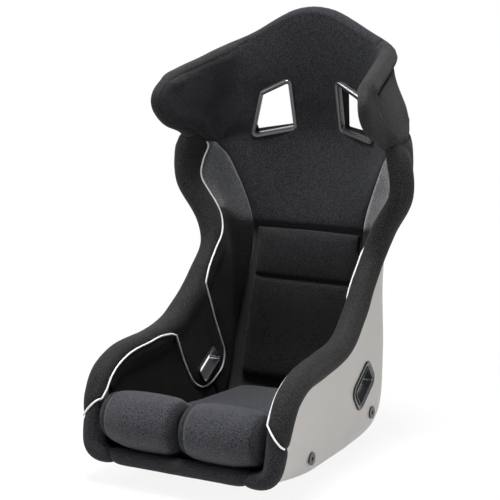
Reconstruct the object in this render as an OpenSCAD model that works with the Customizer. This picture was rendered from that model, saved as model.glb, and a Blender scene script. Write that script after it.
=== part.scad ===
// Racing bucket seat with head wings: a one-piece laminate shell, foam pads sewn over it,
// four lift-off cushions, harness slot trims and threaded side-mount inserts.
// Millimetres, +Z up. The seat faces -Y and is the same on both sides of the plane X = 0.
// The origin is on the floor, under the middle of the seat's box.
//
// The shell is drawn like a boat: 15 stations run from the front lip, under the pan, up the
// back and over the head. "along" counts stations (0 lip .. 14 crown). "across" is the share
// of the half section from the centre line (0) to the rim (1). Every pad, roll and cover
// sits on that same surface, so they all follow the shell when it changes.

/* [Shell] */
// Wall thickness of the laminate
shell_t = 4; // [3:0.5:6]
// Outside half-width of the pan and lower back
pan_half_w = 191; // [180:1:200]
// How far the side walls lean out at the thigh crest
pan_flare = 6; // [2:1:12]
// Depth from the front mount to the outside of the lower back
back_depth = 384; // [370:1:400]
// Distance from the front lip to the front mount
lip_reach = 178; // [165:1:190]
// Height of the front lip
lip_height = 57; // [50:1:64]
// Height of the thigh bolsters' crest
crest_height = 230; // [215:1:245]
// Height of the waist, where the rim is narrowest
waist_height = 394; // [380:1:410]
// Height of the shoulder bolsters' widest point
shoulder_height = 540; // [520:1:560]
// Half-width of the rim at the shoulders
shoulder_half_w = 252; // [240:1:262]
// Half-width of the rim at the head wings
wing_half_w = 232; // [222:1:242]
// Forward reach of the head wings, measured from the crown
wing_reach = 260; // [235:1:275]
// Height of the wing tips above the shoulders
wing_up = 175; // [165:1:185]
// Height of the crown's base line above the shoulders
crown_up = 271; // [262:1:280]
// Rise of the domed crown over that line
crown_rise = 71; // [55:1:85]
// Half-width of the dome
crown_half_w = 195; // [180:1:205]

/* [Padding] */
// Gap between the shell and the foam laid on it
pad_gap = 0.8; // [0.6:0.1:1.2]
// Gap left at a sewn seam between two pads
seam_gap = 0.8; // [0.6:0.1:1.4]
// Thickness of the felt liner under the loose cushions
liner_t = 3; // [2:0.5:4]
// How much thinner a pad gets at its seams
seam_dip = 3; // [0:0.5:5]
// Radius of the foam roll on the bolsters
roll_r = 25; // [22:0.5:28]
// Radius of the roll on the wings and crown
wing_roll_r = 21; // [18:0.5:24]
// Radius of the roll on the front lip
lip_roll_r = 16; // [14:0.5:19]
// Crown of the front lip's roll, more at the middle than at its ends
lip_crown = 0.8; // [0:0.2:2]
// Depth that a roll reaches down each side of the rim
roll_skirt = 30; // [26:1:34]
// The same depth under the wings
wing_skirt = 24; // [20:1:26]
// The same depth on the wings' top edge and the crown
crown_skirt = 15; // [12:1:18]
// The same depth on the front lip
lip_skirt = 22; // [18:1:24]
// Thickness of the covers on the outside of the shoulders and wings
cover_t = 10; // [7:0.5:12]
// Diameter of the piping cord in the seams
piping_d = 5; // [4:0.5:6]

/* [Cushions] */
// Length of one thigh cushion across the seat
thigh_len = 168; // [160:1:172]
// Gap between the two thigh cushions
thigh_split = 10; // [8:1:16]
// Radius of the thigh cushion's nose
thigh_nose_r = 56; // [50:1:58]
// Height of the thigh cushion's nose centre
thigh_nose_z = 126; // [124:1:132]
// Half-width of the base cushion
base_half_w = 150; // [140:1:154]
// Height of the base cushion's front edge
base_front_z = 98; // [90:1:102]
// Height of the base cushion's back edge
base_back_z = 74; // [68:1:80]
// Crown of the cushions over their edges
cushion_crown = 4; // [2:0.5:6]
// Thickness of the back cushion at its edge
back_pad_t = 10; // [8:0.5:14]
// Depth of the sewn channel across the back cushion
channel_depth = 4; // [2:0.5:6]
// Thickness of one hook or loop strip
strip_t = 1; // [0.8:0.1:1.4]
// Gap between a hook strip and the loop strip it holds
strip_gap = 0.3; // [0.3:0.1:0.5]

/* [Harness slots] */
// Height of the shoulder slots' centre
slot_up = 140; // [134:1:146]
// Width of the shoulder slot trim's face
bezel_w = 9; // [8:0.5:11]
// Height of that face over the fabric
bezel_h = 5; // [4:0.5:7]
// Length of the lap strap slot
lap_len = 74; // [66:1:80]
// Width of the lap strap slot
lap_w = 40; // [34:1:44]
// Width of the outer frame round the lap slot
lap_frame_w = 12; // [9:0.5:14]
// Length of the crotch strap slot, across the seat
crotch_len = 90; // [70:1:100]
// Width of the crotch strap slot
crotch_w = 34; // [28:1:40]

/* [Side mounts] */
// Distance between the front and rear mount holes, front to back
mount_pitch = 290; // [280:1:300]
// Height of the front mount hole
mount_z = 52; // [50:1:60]
// Rise of the rear mount hole over the front one
mount_rise = 14; // [0:1:20]
// Thread size of the inserts
mount_d = 8; // [6:1:10]
// Outside diameter of an insert's flange
insert_d = 26; // [22:1:30]

/* [Hidden] */

laminate = "#b9b3a8";
velour = "#26231f";
knit = "#2f3033";
mesh_cloth = "#44474b";
dark_cloth = "#151517";
felt = "#1b1b1d";
silver_cord = "#a9adb1";
satin = "#7d8084";
steel = "#9a9ca0";

// ---- Lines of the shell -------------------------------------------------------------
rim_w = pan_half_w + pan_flare;
lip_y = -lip_reach;
crown_y = back_depth + 19;
tip_y = crown_y - wing_reach;
crest = crest_height;
shoulder = shoulder_height;
wing_height = shoulder + wing_up;
crown_base = shoulder + crown_up;
// One row per station: centre y, z; rim x, y, z; corner half-width; corner setback;
// bow of the floor or back; rise of the dome
stations = [
    [lip_y, lip_height, rim_w + 6, lip_y + 26, crest - 72, pan_half_w + 8, 34, 0, 0],
    [lip_y + 38, lip_height - 18, rim_w + 7, lip_y + 55, crest - 27, pan_half_w + 5, 46, 0, 0],
    [lip_y + 106, lip_height - 40, rim_w + 4, lip_y + 118, crest - 2, pan_half_w, 60, 0, 0],
    [45, 0, rim_w - 1, 25, crest + 3, pan_half_w, 62, 0, 0],
    [200, 0, rim_w + 1, 120, crest + 19, pan_half_w, 62, 0, 0],
    [back_depth - 34, 22, rim_w - 3, back_depth - 188, crest + 67, pan_half_w, 66, 0, 0],
    [back_depth, 140, rim_w - 7, back_depth - 144, waist_height - 53, pan_half_w, 70, 2, 0],
    [back_depth, waist_height - 94, rim_w - 6, back_depth - 96, waist_height, pan_half_w, 72, 4, 0],
    [back_depth + 13, waist_height + 36, (rim_w + shoulder_half_w) / 2 - 14, back_depth - 84,
        waist_height + 61, pan_half_w + 12, 80, 12, 0],
    [back_depth + 40, shoulder, shoulder_half_w, back_depth - 94, shoulder - 10,
        shoulder_half_w - 20, 100, 40, 0],
    [back_depth + 57, shoulder + 80, shoulder_half_w - 4, back_depth - 108, shoulder + 70,
        shoulder_half_w - 12, 110, 62, 0],
    [back_depth + 54, shoulder + 128, wing_half_w, back_depth - 137, shoulder + 115,
        shoulder_half_w - 30, 100, 55, 0],
    [back_depth + 40, shoulder + 182, wing_half_w - 2, tip_y + 37, wing_height - 37,
        wing_half_w - 27, 80, 38, 0],
    [crown_y + 4, crown_base - 48, wing_half_w, tip_y, wing_height + 1,
        wing_half_w - 42, 60, 16, crown_rise - 10],
    [crown_y, crown_base, wing_half_w - 8, tip_y + 31, wing_height + 35,
        wing_half_w - 52, 50, 4, crown_rise],
];
last = len(stations) - 1;

// Share of the half section at which the middle panel ends
panel_edge = [[0, 0.36], [4, 0.36], [5, 0.43], [6.5, 0.49], [8.1, 0.51], [9, 0.61],
    [9.5, 0.68], [10, 0.82], [10.5, 0.68], [11, 0.6], [14, 0.45]];
// Share at which the side panels stop and the hip panel round the lap slot begins
hip_edge = [[0, 0.8], [3.7, 0.88], [4, 0.82], [4.34, 0.57], [5.34, 0.55], [6, 0.64],
    [8, 0.75], [9.5, 0.84], [10, 0.87], [10.5, 0.8], [14, 0.8]];
// Foam thickness on the centre line, at the panel edge and at the roll
mid_foam = [[8, 14], [10, 14], [12, 14], [14, 17]];
side_foam = [[0, 10], [3.5, 11], [5, 13], [7, 17], [8, 19], [8.5, 31], [9, 40], [9.6, 39],
    [10, 33], [11, 26], [12, 18], [14, 15]];
edge_foam = [[0, 11], [3.5, 12], [5.4, 18], [6.3, 18], [7.3, 21], [8.1, 24], [9.2, 25],
    [10, 28], [11, 20], [12, 14], [14, 14]];
// Thickness of what lies outside the rim's skirt
outer_foam = [[0, 3], [7, 3], [8, cover_t], [14, cover_t]];

// ---- Small helpers ------------------------------------------------------------------
function unit(v) = v / norm(v);
function lerp(a, b, k) = a + (b - a) * k;
function clamp(k) = min(1, max(0, k));

// Smooth curve through a list of values (Catmull-Rom); k counts the entries
function spline(list, k) =
    let (n = len(list) - 1, i = min(max(floor(k), 0), n - 1), t = k - i,
        p1 = list[i], p2 = list[i + 1],
        p0 = i > 0 ? list[i - 1] : 2 * p1 - p2,
        p3 = i < n - 1 ? list[i + 2] : 2 * p2 - p1)
    0.5 * (2 * p1 + (p2 - p0) * t + (2 * p0 - 5 * p1 + 4 * p2 - p3) * t * t
        + (3 * p1 - p0 - 3 * p2 + p3) * t * t * t);

// Closed solid through a stack of rings with the same number of points. "cap" lists the
// triangles of an end whose outline isn't convex.
module skin(rings, cap = []) {
    n = len(rings[0]);
    m = len(rings);
    points = [for (ring = rings) each ring];
    lid = len(cap) > 0 ? cap : [[for (k = [0:n - 1]) k]];
    faces = [
        each lid,
        for (f = lid) [for (k = [len(f) - 1:-1:0]) (m - 1) * n + f[k]],
        for (i = [0:m - 2]) for (k = [0:n - 1])
            let (a = i * n + k, b = i * n + (k + 1) % n)
            each [[a, b + n, b], [a, a + n, b + n]]];
    polyhedron(points, faces, convexity = 6);
}

// Convex outline drawn in by d, and the same outline with rounded corners
function inset(corners, d) = [for (i = [0:len(corners) - 1])
    let (n = len(corners), p = corners[i], a = unit(corners[(i + n - 1) % n] - p),
        b = unit(corners[(i + 1) % n] - p))
    p + unit(a + b) * d / sin(acos(a * b) / 2)];

function rounded(corners, r, steps = 3) = [for (i = [0:len(corners) - 1])
    let (n = len(corners), p = corners[i], a = unit(corners[(i + n - 1) % n] - p),
        b = unit(corners[(i + 1) % n] - p), half = acos(a * b) / 2,
        o = p + unit(a + b) * r / sin(half), s = p + a * r / tan(half) - o,
        from = atan2(s[1], s[0]))
    for (k = [0:steps]) let (t = from + (180 - 2 * half) * k / steps) o + r * [cos(t), sin(t)]];

// Flat ring between two outlines
module ring(outer, inner, h) {
    linear_extrude(h) difference() {
        polygon(outer);
        polygon(inner);
    }
}

// Points of a belt drawn tight round circles [x, y, r], one point per direction
function belt(circles, shrink, count) = [for (k = [0:count - 1])
    let (u = [cos(360 * k / count), sin(360 * k / count)],
        reach = [for (c = circles) c[0] * u[0] + c[1] * u[1] + c[2]],
        c = circles[search(max(reach), reach)[0]])
    [c[0], c[1]] + u * max(c[2] - shrink, 1)];

module side(s) {
    mirror([s < 0 ? 1 : 0, 0, 0]) children();
}

// ---- The shell's outer surface ------------------------------------------------------
// Half section of one station: floor, rounded corner and wall, in its own plane
function section(s) =
    let (wc = s[5], rc = s[6], bow = s[7], h = norm([s[3] - s[0], s[4] - s[1]]),
        x1 = wc - rc, a = [x1, bow * pow(x1 / wc, 2)],
        k = [wc, a[1] + 2 * bow * x1 / wc / wc * rc],
        e = unit([s[2], h] - k), b = k + rc * e)
    [wc, bow, a, k, b, [s[2], h], x1, 1.62 * rc, norm([s[2], h] - b)];

function section_len(s) = let (c = section(s)) c[6] + c[7] + c[8];

function section_point(c, across) =
    let (d = abs(across) * (c[6] + c[7] + c[8]), t = (d - c[6]) / c[7])
    d <= c[6] ? [d, c[1] * pow(d / c[0], 2)]
    : t <= 1 ? (1 - t) * (1 - t) * c[2] + 2 * t * (1 - t) * c[3] + t * t * c[4]
    : c[4] + unit(c[5] - c[4]) * (d - c[6] - c[7]);

// Station at any place along, with the floor never under the ground
function station(along) =
    let (s = spline(stations, along))
    [for (i = [0:len(s) - 1]) i == 1 ? max(s[1], 0) : s[i]];

// Point of the outer surface
function surf(along, across) =
    let (s = station(along), p = section_point(section(s), across),
        dir = unit([s[3] - s[0], s[4] - s[1]]))
    [sign(across) * p[0], s[0] + dir[0] * p[1],
        s[1] + dir[1] * p[1] + s[8] * (0.5 + 0.5 * cos(180 * min(p[0] / crown_half_w, 1)))];

// Outward normal of that surface
step = 0.02;
function normal(along, across) =
    let (a0 = max(along - step, 0), a1 = min(along + step, last),
        c0 = max(across - step, -1), c1 = min(across + step, 1))
    unit(cross(surf(a1, across) - surf(a0, across), surf(along, c1) - surf(along, c0)));

function at_depth(along, across, lift) = surf(along, across) + normal(along, across) * lift;
function half_len(along) = section_len(station(along));

// ---- The rim ----------------------------------------------------------------------------
// "u" runs once round half the rim: -1..0 is the front lip from the centre line outwards,
// 0..14 the side, and 14..15 the crown back to the centre line
function rim_spot(u) = u < 0 ? [0, u + 1] : u <= last ? [u, 1] : [last, last + 1 - u];
function rim(u) = let (s = rim_spot(u)) surf(s[0], s[1]);
function rim_dir(u) = unit(unit(rim(u + step / 2) - rim(u)) + unit(rim(u) - rim(u - step / 2)));
function rim_out(u) = let (s = rim_spot(u)) normal(s[0], s[1]);

// Depth of the roll's skirt round the rim
function skirt_at(u) = lookup(u, [[-1, lip_skirt], [0, lip_skirt + 2], [1.2, roll_skirt],
    [10.3, roll_skirt], [11.3, wing_skirt], [12.6, wing_skirt - 2], [13.1, crown_skirt],
    [15, crown_skirt]]);

// Share at which the pads stop and the roll begins, its skirt measured square to the rim
bend_room = [[0, 9], [1, 9], [1.7, 0], [7.2, 0], [7.5, 5.6], [9, 5.6], [9.3, 0], [11, 0],
    [11.6, 11.8], [12.2, 7], [13.3, 6], [14, 0]];
least_lean = [[0, 0.8], [0.75, 0.45], [13.3, 0.36], [14, 0.8]];
function roll_edge(along) =
    let (lean = norm(cross(rim_dir(along), unit(surf(along, 1) - surf(along, 0.97)))))
    1 - (skirt_at(along) + seam_gap + lookup(along, bend_room)) / half_len(along)
        / max(lean, lookup(along, least_lean));

// ---- The grid that shell and pads share -------------------------------------------------
rows = [0, 0.5, 1, 1.5, 2, 2.5, 3, 3.5, 4, 4.34, 4.67, 5, 5.34, 5.67, 6, 6.5, 7, 7.5, 8, 8.5, 9,
    9.5, 10, 10.5, 11, 11.5, 12, 12.5, 13, 13.3, 13.65, 14];
mid_cols = 4;
side_cols = 5;
hip_cols = 2;
edge_cols = 1;
panel_col = mid_cols;
hip_col = panel_col + side_cols;
roll_col = hip_col + hip_cols;
rim_col = roll_col + edge_cols;

function across_at(along, col) =
    let (j = abs(col), a = lookup(along, panel_edge), e = roll_edge(along),
        b = min(lookup(along, hip_edge), e - 0.02),
        q = j <= panel_col ? a * j / mid_cols
            : j <= hip_col ? lerp(a, b, (j - panel_col) / side_cols)
            : j <= roll_col ? lerp(b, e, (j - hip_col) / hip_cols)
            : lerp(e, 1, (j - roll_col) / edge_cols))
    sign(col) * q;

// Foam thickness at a place on the surface
function foam(along, across) =
    let (q = abs(across), a = lookup(along, panel_edge), e = roll_edge(along),
        m = lookup(along, mid_foam), s = lookup(along, side_foam), r = lookup(along, edge_foam))
    q < a ? lerp(m, s, pow(q / a, 2)) : lerp(s, r, min(1, (q - a) / (e - a)));

// Rectangle of grid cells between two places along and two columns
function row(along) = [for (i = [0:len(rows) - 1]) if (rows[i] > along - 0.001) i][0];
function cells(v0, v1, c0, c1) = [row(v0), row(v1), c0, c1];

// Closed solid between two offsets of the surface, over some rectangles of the grid. The
// offsets follow the outward normal. Outer edges draw back by "trim" and thin by "dip". The
// cells' diagonals are mirrored at the middle, so that both sides fit alike.
module quilt(parts, low, high, dip = 0, trim = seam_gap / 2, list = rows,
        narrow = function (v) 1) {
    i0 = min([for (p = parts) p[0]]);
    i1 = max([for (p = parts) p[1]]);
    j0 = min([for (p = parts) p[2]]);
    j1 = max([for (p = parts) p[3]]);
    wide = j1 - j0 + 1;
    function in(i, j) =
        len([for (p = parts) if (i >= p[0] && i < p[1] && j >= p[2] && j < p[3]) 1]) > 0 ? 1 : 0;
    function spot(i, j) =
        let (a = in(i - 1, j - 1), b = in(i - 1, j), c = in(i, j - 1), d = in(i, j),
            v = list[i] + sign(c + d - a - b) * trim / 70,
            q = across_at(v, j) * narrow(v) + sign(b + d - a - c) * trim / half_len(v))
        [v, q, a + b + c + d < 4 ? dip : 0];
    spots = [for (i = [i0:i1]) for (j = [j0:j1]) spot(i, j)];
    n = len(spots);
    base = [for (s = spots) surf(s[0], s[1])];
    norms = [for (s = spots) normal(s[0], s[1])];
    points = [
        for (k = [0:n - 1]) let (s = spots[k], h = low(s[0], s[1]))
            base[k] + norms[k] * (h + (h < 0 ? s[2] : 0)),
        for (k = [0:n - 1]) let (s = spots[k], h = high(s[0], s[1]))
            base[k] + norms[k] * (h - (h > 0 ? s[2] : 0))];
    function at(i, j) = (i - i0) * wide + j - j0;
    function wall(a, b) = a < b ? [[a, b, n + b], [a, n + b, n + a]]
        : [[a, b, n + a], [b, n + b, n + a]];
    faces = [for (i = [i0:i1 - 1]) for (j = [j0:j1 - 1]) if (in(i, j) == 1)
        let (a = at(i, j), b = at(i + 1, j), c = at(i + 1, j + 1), d = at(i, j + 1))
        each concat(j < 0
            ? [[a, b, d], [b, c, d], [n + a, n + d, n + b], [n + b, n + d, n + c]]
            : [[a, b, c], [a, c, d], [n + a, n + c, n + b], [n + a, n + d, n + c]],
            in(i - 1, j) == 0 ? wall(a, d) : [], in(i, j + 1) == 0 ? wall(d, c) : [],
            in(i + 1, j) == 0 ? wall(c, b) : [], in(i, j - 1) == 0 ? wall(b, a) : [])];
    polyhedron(points, faces, convexity = 8);
}

// Offsets of the layers, from the outer surface inwards (negative) and outwards
under_pad = -(shell_t + pad_gap);
pad_back = function (v, q) under_pad;
pad_face = function (v, q) under_pad - foam(v, q);
liner_face = function (v, q) under_pad - liner_t;
hook_back = function (v, q) under_pad - liner_t - strip_gap;
hook_face = function (v, q) under_pad - liner_t - strip_gap - strip_t;
loop_back = function (v, q) under_pad - liner_t - 2 * strip_gap - strip_t;
loop_face = function (v, q) under_pad - liner_t - 2 * strip_gap - 2 * strip_t;
cover_back = function (v, q) pad_gap;
cover_face = function (v, q) pad_gap + cover_t;
seat_rise = -loop_face(0, 0) + 0.2;

// ---- Rolls on the rim ---------------------------------------------------------------------
// Cross-section: "in" points to the occupant and "off" points off the rim. The roll is open
// towards the shell, whose edge stands in its channel.
channel_room = [[-1, 1.5], [-0.6, 1.5], [-0.4, 6.8], [-0.05, 6.8], [0.2, 3], [7.5, 3], [8, 4.2],
    [9.5, 4.2], [10, 3], [13.8, 2.5], [14.15, 6.8], [14.7, 6.8], [14.95, 2]];
function roll_profile(r, skirt, inner, outer, channel) = concat(
    [[inner, -skirt], [lerp(inner, r, 0.75), -0.55 * skirt]],
    [for (t = [0:30:180]) r * [cos(t), sin(t)]],
    [[-lerp(outer, r, 0.85), -0.4 * skirt], [-lerp(outer, r, 0.4), -0.8 * skirt],
        [-outer, -skirt], [-channel, -skirt], [-channel, 2], [channel, 2], [channel, -skirt]]);

// Triangles of that section, fanned from the corners of its channel
roll_cap = concat([for (k = [0:1]) [15, k, k + 1]], [[15, 2, 14]],
    [for (k = [2:4]) [14, k, k + 1]], [[14, 5, 13]], [for (k = [5:7]) [13, k, k + 1]],
    [[13, 8, 12]], [for (k = [8:10]) [12, k, k + 1]]);

// Point of a roll's ring; "shift" moves the ring along the rim
function roll_point(u, in, off, shift = 0) =
    let (n = rim_out(u), t = rim_dir(u), w = unit(cross(n, t)))
    rim(u) - n * (shell_t / 2 + in) + w * off + t * shift;

function right_half(u) = u < -1 ? -2 - u : min(u, 2 * (last + 1) - u);
function roll_size(u, r) =
    let (w = right_half(u), v = rim_spot(w)[0], lip = clamp(-w / 0.5),
        channel = shell_t / 2 + lookup(w, channel_room))
    [lerp(r, lip_roll_r + lip_crown * (1 - pow(clamp(2 + 2 * w), 2)), lip), skirt_at(w),
        max(shell_t / 2 + pad_gap + lerp(lookup(v, edge_foam), liner_t + 4, lip), channel + 2),
        max(shell_t / 2 + pad_gap + lookup(v, outer_foam), channel + 2), channel];

// Radius of the roll: full on the sides, smaller on the wings and crown
function roll_r_at(u) = lookup(u, [[0, roll_r], [9.5, roll_r], [11.5, wing_roll_r]]);

// Roll from u = a to u = b, its rings on the grid's own nodes and its ends half a seam back
rim_nodes = concat([for (j = [-rim_col:rim_col - 1]) if (j != 0) across_at(0, j) - 1], rows,
    [for (j = [rim_col - 1:-1:-rim_col]) last + 1 - across_at(last, j)]);
module roll(a, b) {
    inner = [for (u = rim_nodes) if (u > a + 0.02 && u < b - 0.02) [u, 0]];
    skin([for (s = concat([[a, seam_gap / 2]], inner, [[b, -seam_gap / 2]]))
        let (z = roll_size(s[0], roll_r_at(s[0])))
        [for (p = roll_profile(z[0], z[1], z[2], z[3], z[4])) roll_point(s[0], p[0], p[1], s[1])]],
        roll_cap);
}

neck = 11;
lip_end = across_at(0, panel_col + 1) - 1;
top_start = last + 1 - across_at(last, panel_col);

// ---- Cushions --------------------------------------------------------------------------------
thigh_y = lip_y + 30;
thigh_rear_y = 5;
end_shape = [[0, 10], [2.5, 5], [7, 1.5], [16, 0]];
function end_inset(d) = lookup(d, end_shape);

// ---- Slots --------------------------------------------------------------------------------
slot_pos = [92.75, back_depth + 13, shoulder_height + slot_up];
slot_yaw = 22.6;
slot_tilt = 14;
slot_outer = [[-37.4, 74.4], [-50.6, -46.2], [55.5, -67.8], [32.5, 39.6]];
slot_wall = 2.5;
slot_corner_r = 12;
bezel_back = 6.5;
back_tilt = [-4.8, 8.3, 0];
back_plane = -26.9;
lap_along = 4.66;
lap_across = 0.66;
lap_angle = 32;
lap_skew = 7;
lap_corner_r = 7;
crotch_along = 2.65;

module at_shoulder_slot() {
    translate(slot_pos) rotate([0, 0, -slot_yaw]) rotate([90 + slot_tilt, 0, 0]) children();
}

module at_crotch_slot() {
    n = normal(crotch_along, 0);
    translate(surf(crotch_along, 0)) rotate([atan2(n[1], -n[2]), 0, 0]) children();
}

module at_lap_slot() {
    n = normal(lap_along, lap_across);
    translate(surf(lap_along, lap_across))
        rotate([0, acos(n[2]), atan2(n[1], n[0])]) rotate([0, 0, 90]) children();
}

function slot_line(d) = rounded(inset(slot_outer, d), max(slot_corner_r - d, 3));
lap_shift = tan(lap_skew) * lap_w / 2;
lap_corners = [for (p = [[-lap_len / 2 + lap_shift, -lap_w / 2], [lap_len / 2 + lap_shift, -lap_w / 2],
    [lap_len / 2 - lap_shift, lap_w / 2], [-lap_len / 2 - lap_shift, lap_w / 2]])
    [p[0] * cos(lap_angle) - p[1] * sin(lap_angle), p[0] * sin(lap_angle) + p[1] * cos(lap_angle)]];
function lap_line(d) = rounded(inset(lap_corners, d), max(lap_corner_r - d, 3));
function crotch_line(d) = rounded(inset([[-crotch_len / 2, -crotch_w / 2],
    [crotch_len / 2, -crotch_w / 2], [crotch_len / 2, crotch_w / 2],
    [-crotch_len / 2, crotch_w / 2]], d), max(crotch_w / 2 - 2 - d, 3));

// ---- Middle of the seat, front to back ------------------------------------------------------
front_y = thigh_y - thigh_nose_r;
ring_proud = 0.7;
rear_y = max([for (v = rows) surf(v, 0)[1]]) + ring_proud;
mid_y = (front_y + rear_y) / 2;

module seat(tint) {
    color(tint) translate([0, -mid_y, 0]) children();
}

// ---- Shell ----------------------------------------------------------------------------------
module shell() {
    seat(laminate) difference() {
        quilt([cells(0, last, -rim_col, rim_col)], function (v, q) -shell_t, function (v, q) 0,
            trim = 0);
        for (s = [-1, 1]) side(s) {
            hull() at_shoulder_slot() translate([0, 0, -70]) linear_extrude(90)
                polygon(slot_line(bezel_w - slot_wall - 0.6));
            hull() at_lap_slot() translate([0, 0, -20]) linear_extrude(40)
                polygon(lap_line(-slot_wall - 0.6));
            for (m = mounts) hull() at_mount(m) translate([0, 0, -20]) cylinder(h = 40, r = insert_r + 0.3);
        }
        hull() at_crotch_slot() translate([0, 0, -20]) linear_extrude(40)
            polygon(crotch_line(-slot_wall - 0.6));
    }
}

// ---- Side mounts ------------------------------------------------------------------------------
insert_r = 8;
insert_in = 10;
flange_t = 2.5;
mount_face = pan_half_w + 1.2;
mounts = [[0, mount_z], [mount_pitch, mount_z + mount_rise]];

module at_mount(m) {
    translate([mount_face, m[0], m[1]]) rotate([0, 90, 0]) children();
}

module insert_pockets() {
    for (m = mounts) at_mount(m) translate([0, 0, -insert_in - 1]) cylinder(h = 30, r = insert_r + 1);
}

module mount_insert(s, m) {
    seat(steel) side(s) at_mount(m) difference() {
        union() {
            cylinder(h = flange_t, d = insert_d);
            translate([0, 0, -insert_in]) cylinder(h = insert_in + 1, r = insert_r);
        }
        translate([0, 0, -insert_in - 1]) cylinder(h = insert_in + flange_t + 2, d = mount_d);
    }
}

module mount_insert_front_left() {
    mount_insert(-1, mounts[0]);
}

module mount_insert_front_right() {
    mount_insert(1, mounts[0]);
}

module mount_insert_rear_left() {
    mount_insert(-1, mounts[1]);
}

module mount_insert_rear_right() {
    mount_insert(1, mounts[1]);
}

// ---- Pads and liners on the inside --------------------------------------------------------------
module head_pad() {
    seat(knit) difference() {
        quilt([cells(8, 13.3, -panel_col, panel_col), cells(10, 13.3, -roll_col, roll_col)],
            pad_face, pad_back, dip = seam_dip);
        for (s = [-1, 1]) side(s) at_shoulder_slot() {
            translate([0, 0, -70]) linear_extrude(110) polygon(slot_line(bezel_w - slot_wall - 0.6));
            translate([0, 0, -bezel_back - 0.5]) linear_extrude(80) polygon(slot_line(-1));
        }
    }
}

module pan_liner() {
    seat(felt) difference() {
        quilt([cells(1, 5, -panel_col, panel_col)], liner_face, pad_back);
        at_crotch_slot() translate([0, 0, -20]) linear_extrude(40)
            polygon(crotch_line(-slot_wall - 0.6));
    }
}

module back_liner() {
    seat(felt) quilt([cells(5, 8, -panel_col, panel_col)], liner_face, pad_back,
        trim = seam_gap);
}

module mesh_panel(s) {
    seat(mesh_cloth) side(s)
        quilt([cells(8, 10, panel_col, roll_col)], pad_face, pad_back, dip = seam_dip);
}

module waist_panel(s) {
    seat(dark_cloth) side(s) difference() {
        quilt([cells(4.67, 8, panel_col, hip_col), cells(5.34, 8, panel_col, roll_col)],
            pad_face, pad_back, dip = seam_dip);
        insert_pockets();
    }
}

module hip_panel(s) {
    seat(velour) side(s) difference() {
        quilt([cells(4, 5.34, hip_col, roll_col)], pad_face, pad_back, dip = seam_dip);
        at_lap_slot() translate([0, 0, -60]) linear_extrude(70) polygon(lap_line(-slot_wall - 0.6));
    }
}

module thigh_panel(s) {
    seat(dark_cloth) side(s) difference() {
        quilt([cells(1, 4.67, panel_col, hip_col), cells(1, 4, panel_col, roll_col)],
            pad_face, pad_back, dip = seam_dip);
        insert_pockets();
    }
}

module mesh_panel_left() {
    mesh_panel(-1);
}

module mesh_panel_right() {
    mesh_panel(1);
}

module waist_panel_left() {
    waist_panel(-1);
}

module waist_panel_right() {
    waist_panel(1);
}

module hip_panel_left() {
    hip_panel(-1);
}

module hip_panel_right() {
    hip_panel(1);
}

module thigh_panel_left() {
    thigh_panel(-1);
}

module thigh_panel_right() {
    thigh_panel(1);
}

// ---- Covers on the outside of the shoulders and wings -----------------------------------------------
module cover(s, v0, v1) {
    seat(velour) side(s)
        quilt([cells(v0, v1, panel_col, roll_col)], cover_back, cover_face, dip = seam_dip);
}

module wing_cover_left() {
    cover(-1, 11, 13.3);
}

module wing_cover_right() {
    cover(1, 11, 13.3);
}

module shoulder_cover_left() {
    cover(-1, 8, 11);
}

module shoulder_cover_right() {
    cover(1, 8, 11);
}

// ---- Rolls --------------------------------------------------------------------------------------------
module front_lip_pad() {
    seat(knit) roll(-2 - lip_end, lip_end);
}

module front_corner(s) {
    seat(knit) side(s) roll(lip_end, 0);
}

module side_bolster(s) {
    seat(velour) side(s) roll(0, neck);
}

module wing_edge(s) {
    seat(velour) side(s) roll(neck, top_start);
}

module head_top_roll() {
    seat(knit) roll(top_start, 2 * (last + 1) - top_start);
}

module front_corner_left() {
    front_corner(-1);
}

module front_corner_right() {
    front_corner(1);
}

module side_bolster_left() {
    side_bolster(-1);
}

module side_bolster_right() {
    side_bolster(1);
}

module wing_edge_left() {
    wing_edge(-1);
}

module wing_edge_right() {
    wing_edge(1);
}

// ---- Piping ----------------------------------------------------------------------------------
// Centre of the cord on a pad's face
function on_pad(v, q) = at_depth(v, q, pad_face(v, q) - piping_d / 2 - 0.5);
// Centre of the cord on a roll: s counts the points of the profile
function on_roll(u, s) =
    let (z = roll_size(u, roll_r_at(u)), grow = piping_d / 2 + 1.3,
        big = roll_profile(z[0] + grow, z[1], z[2] + grow, z[3] + grow, z[4]), i = floor(s),
        p = lerp(big[i], big[i + 1], s - i))
    roll_point(u, p[0], p[1]);
piping_knots = concat(
    [for (k = [[10.05, 0.8], [9.9, 0.8], [9.6, 0.9], [9.2, 1.2], [8.8, 1.4], [8.4, 1.3], [8.1, 1.2],
        [7.7, 1.6], [7.3, 2], [6.8, 2], [6.3, 2], [5.9, 2], [5.5, 1.6]]) on_roll(k[0], k[1])],
    [for (k = [[5.36, 0.8], [5.36, 0.7], [5.36, 0.6], [5.1, 0.56], [4.8, 0.56], [4.6, 0.56], [4.35, 0.58],
        [4.15, 0.64], [4.05, 0.72], [3.98, 0.8]]) on_pad(k[0], k[1])],
    [for (k = [[3.8, 1.4], [3.6, 2.3], [3.2, 2.7], [2.7, 2.8], [2.2, 2.8], [1.7, 2.8], [1.2, 2.7], [0.7, 2.6],
        [0.3, 2.6], [0.05, 3], [0, 4], [0, 5], [0, 6], [0, 7], [0, 8], [0, 9], [0, 10]])
        on_roll(k[0], k[1])]);

function cord_ring(path, k, r) =
    let (p = spline(path, k), t = unit(spline(path, min(k + 0.05, len(path) - 1))
            - spline(path, max(k - 0.05, 0))),
        a = unit(cross(t, [0.31, 0.17, 0.93])), b = cross(t, a))
    [for (w = [0:60:300]) p + r * (cos(w) * a + sin(w) * b)];

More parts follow.
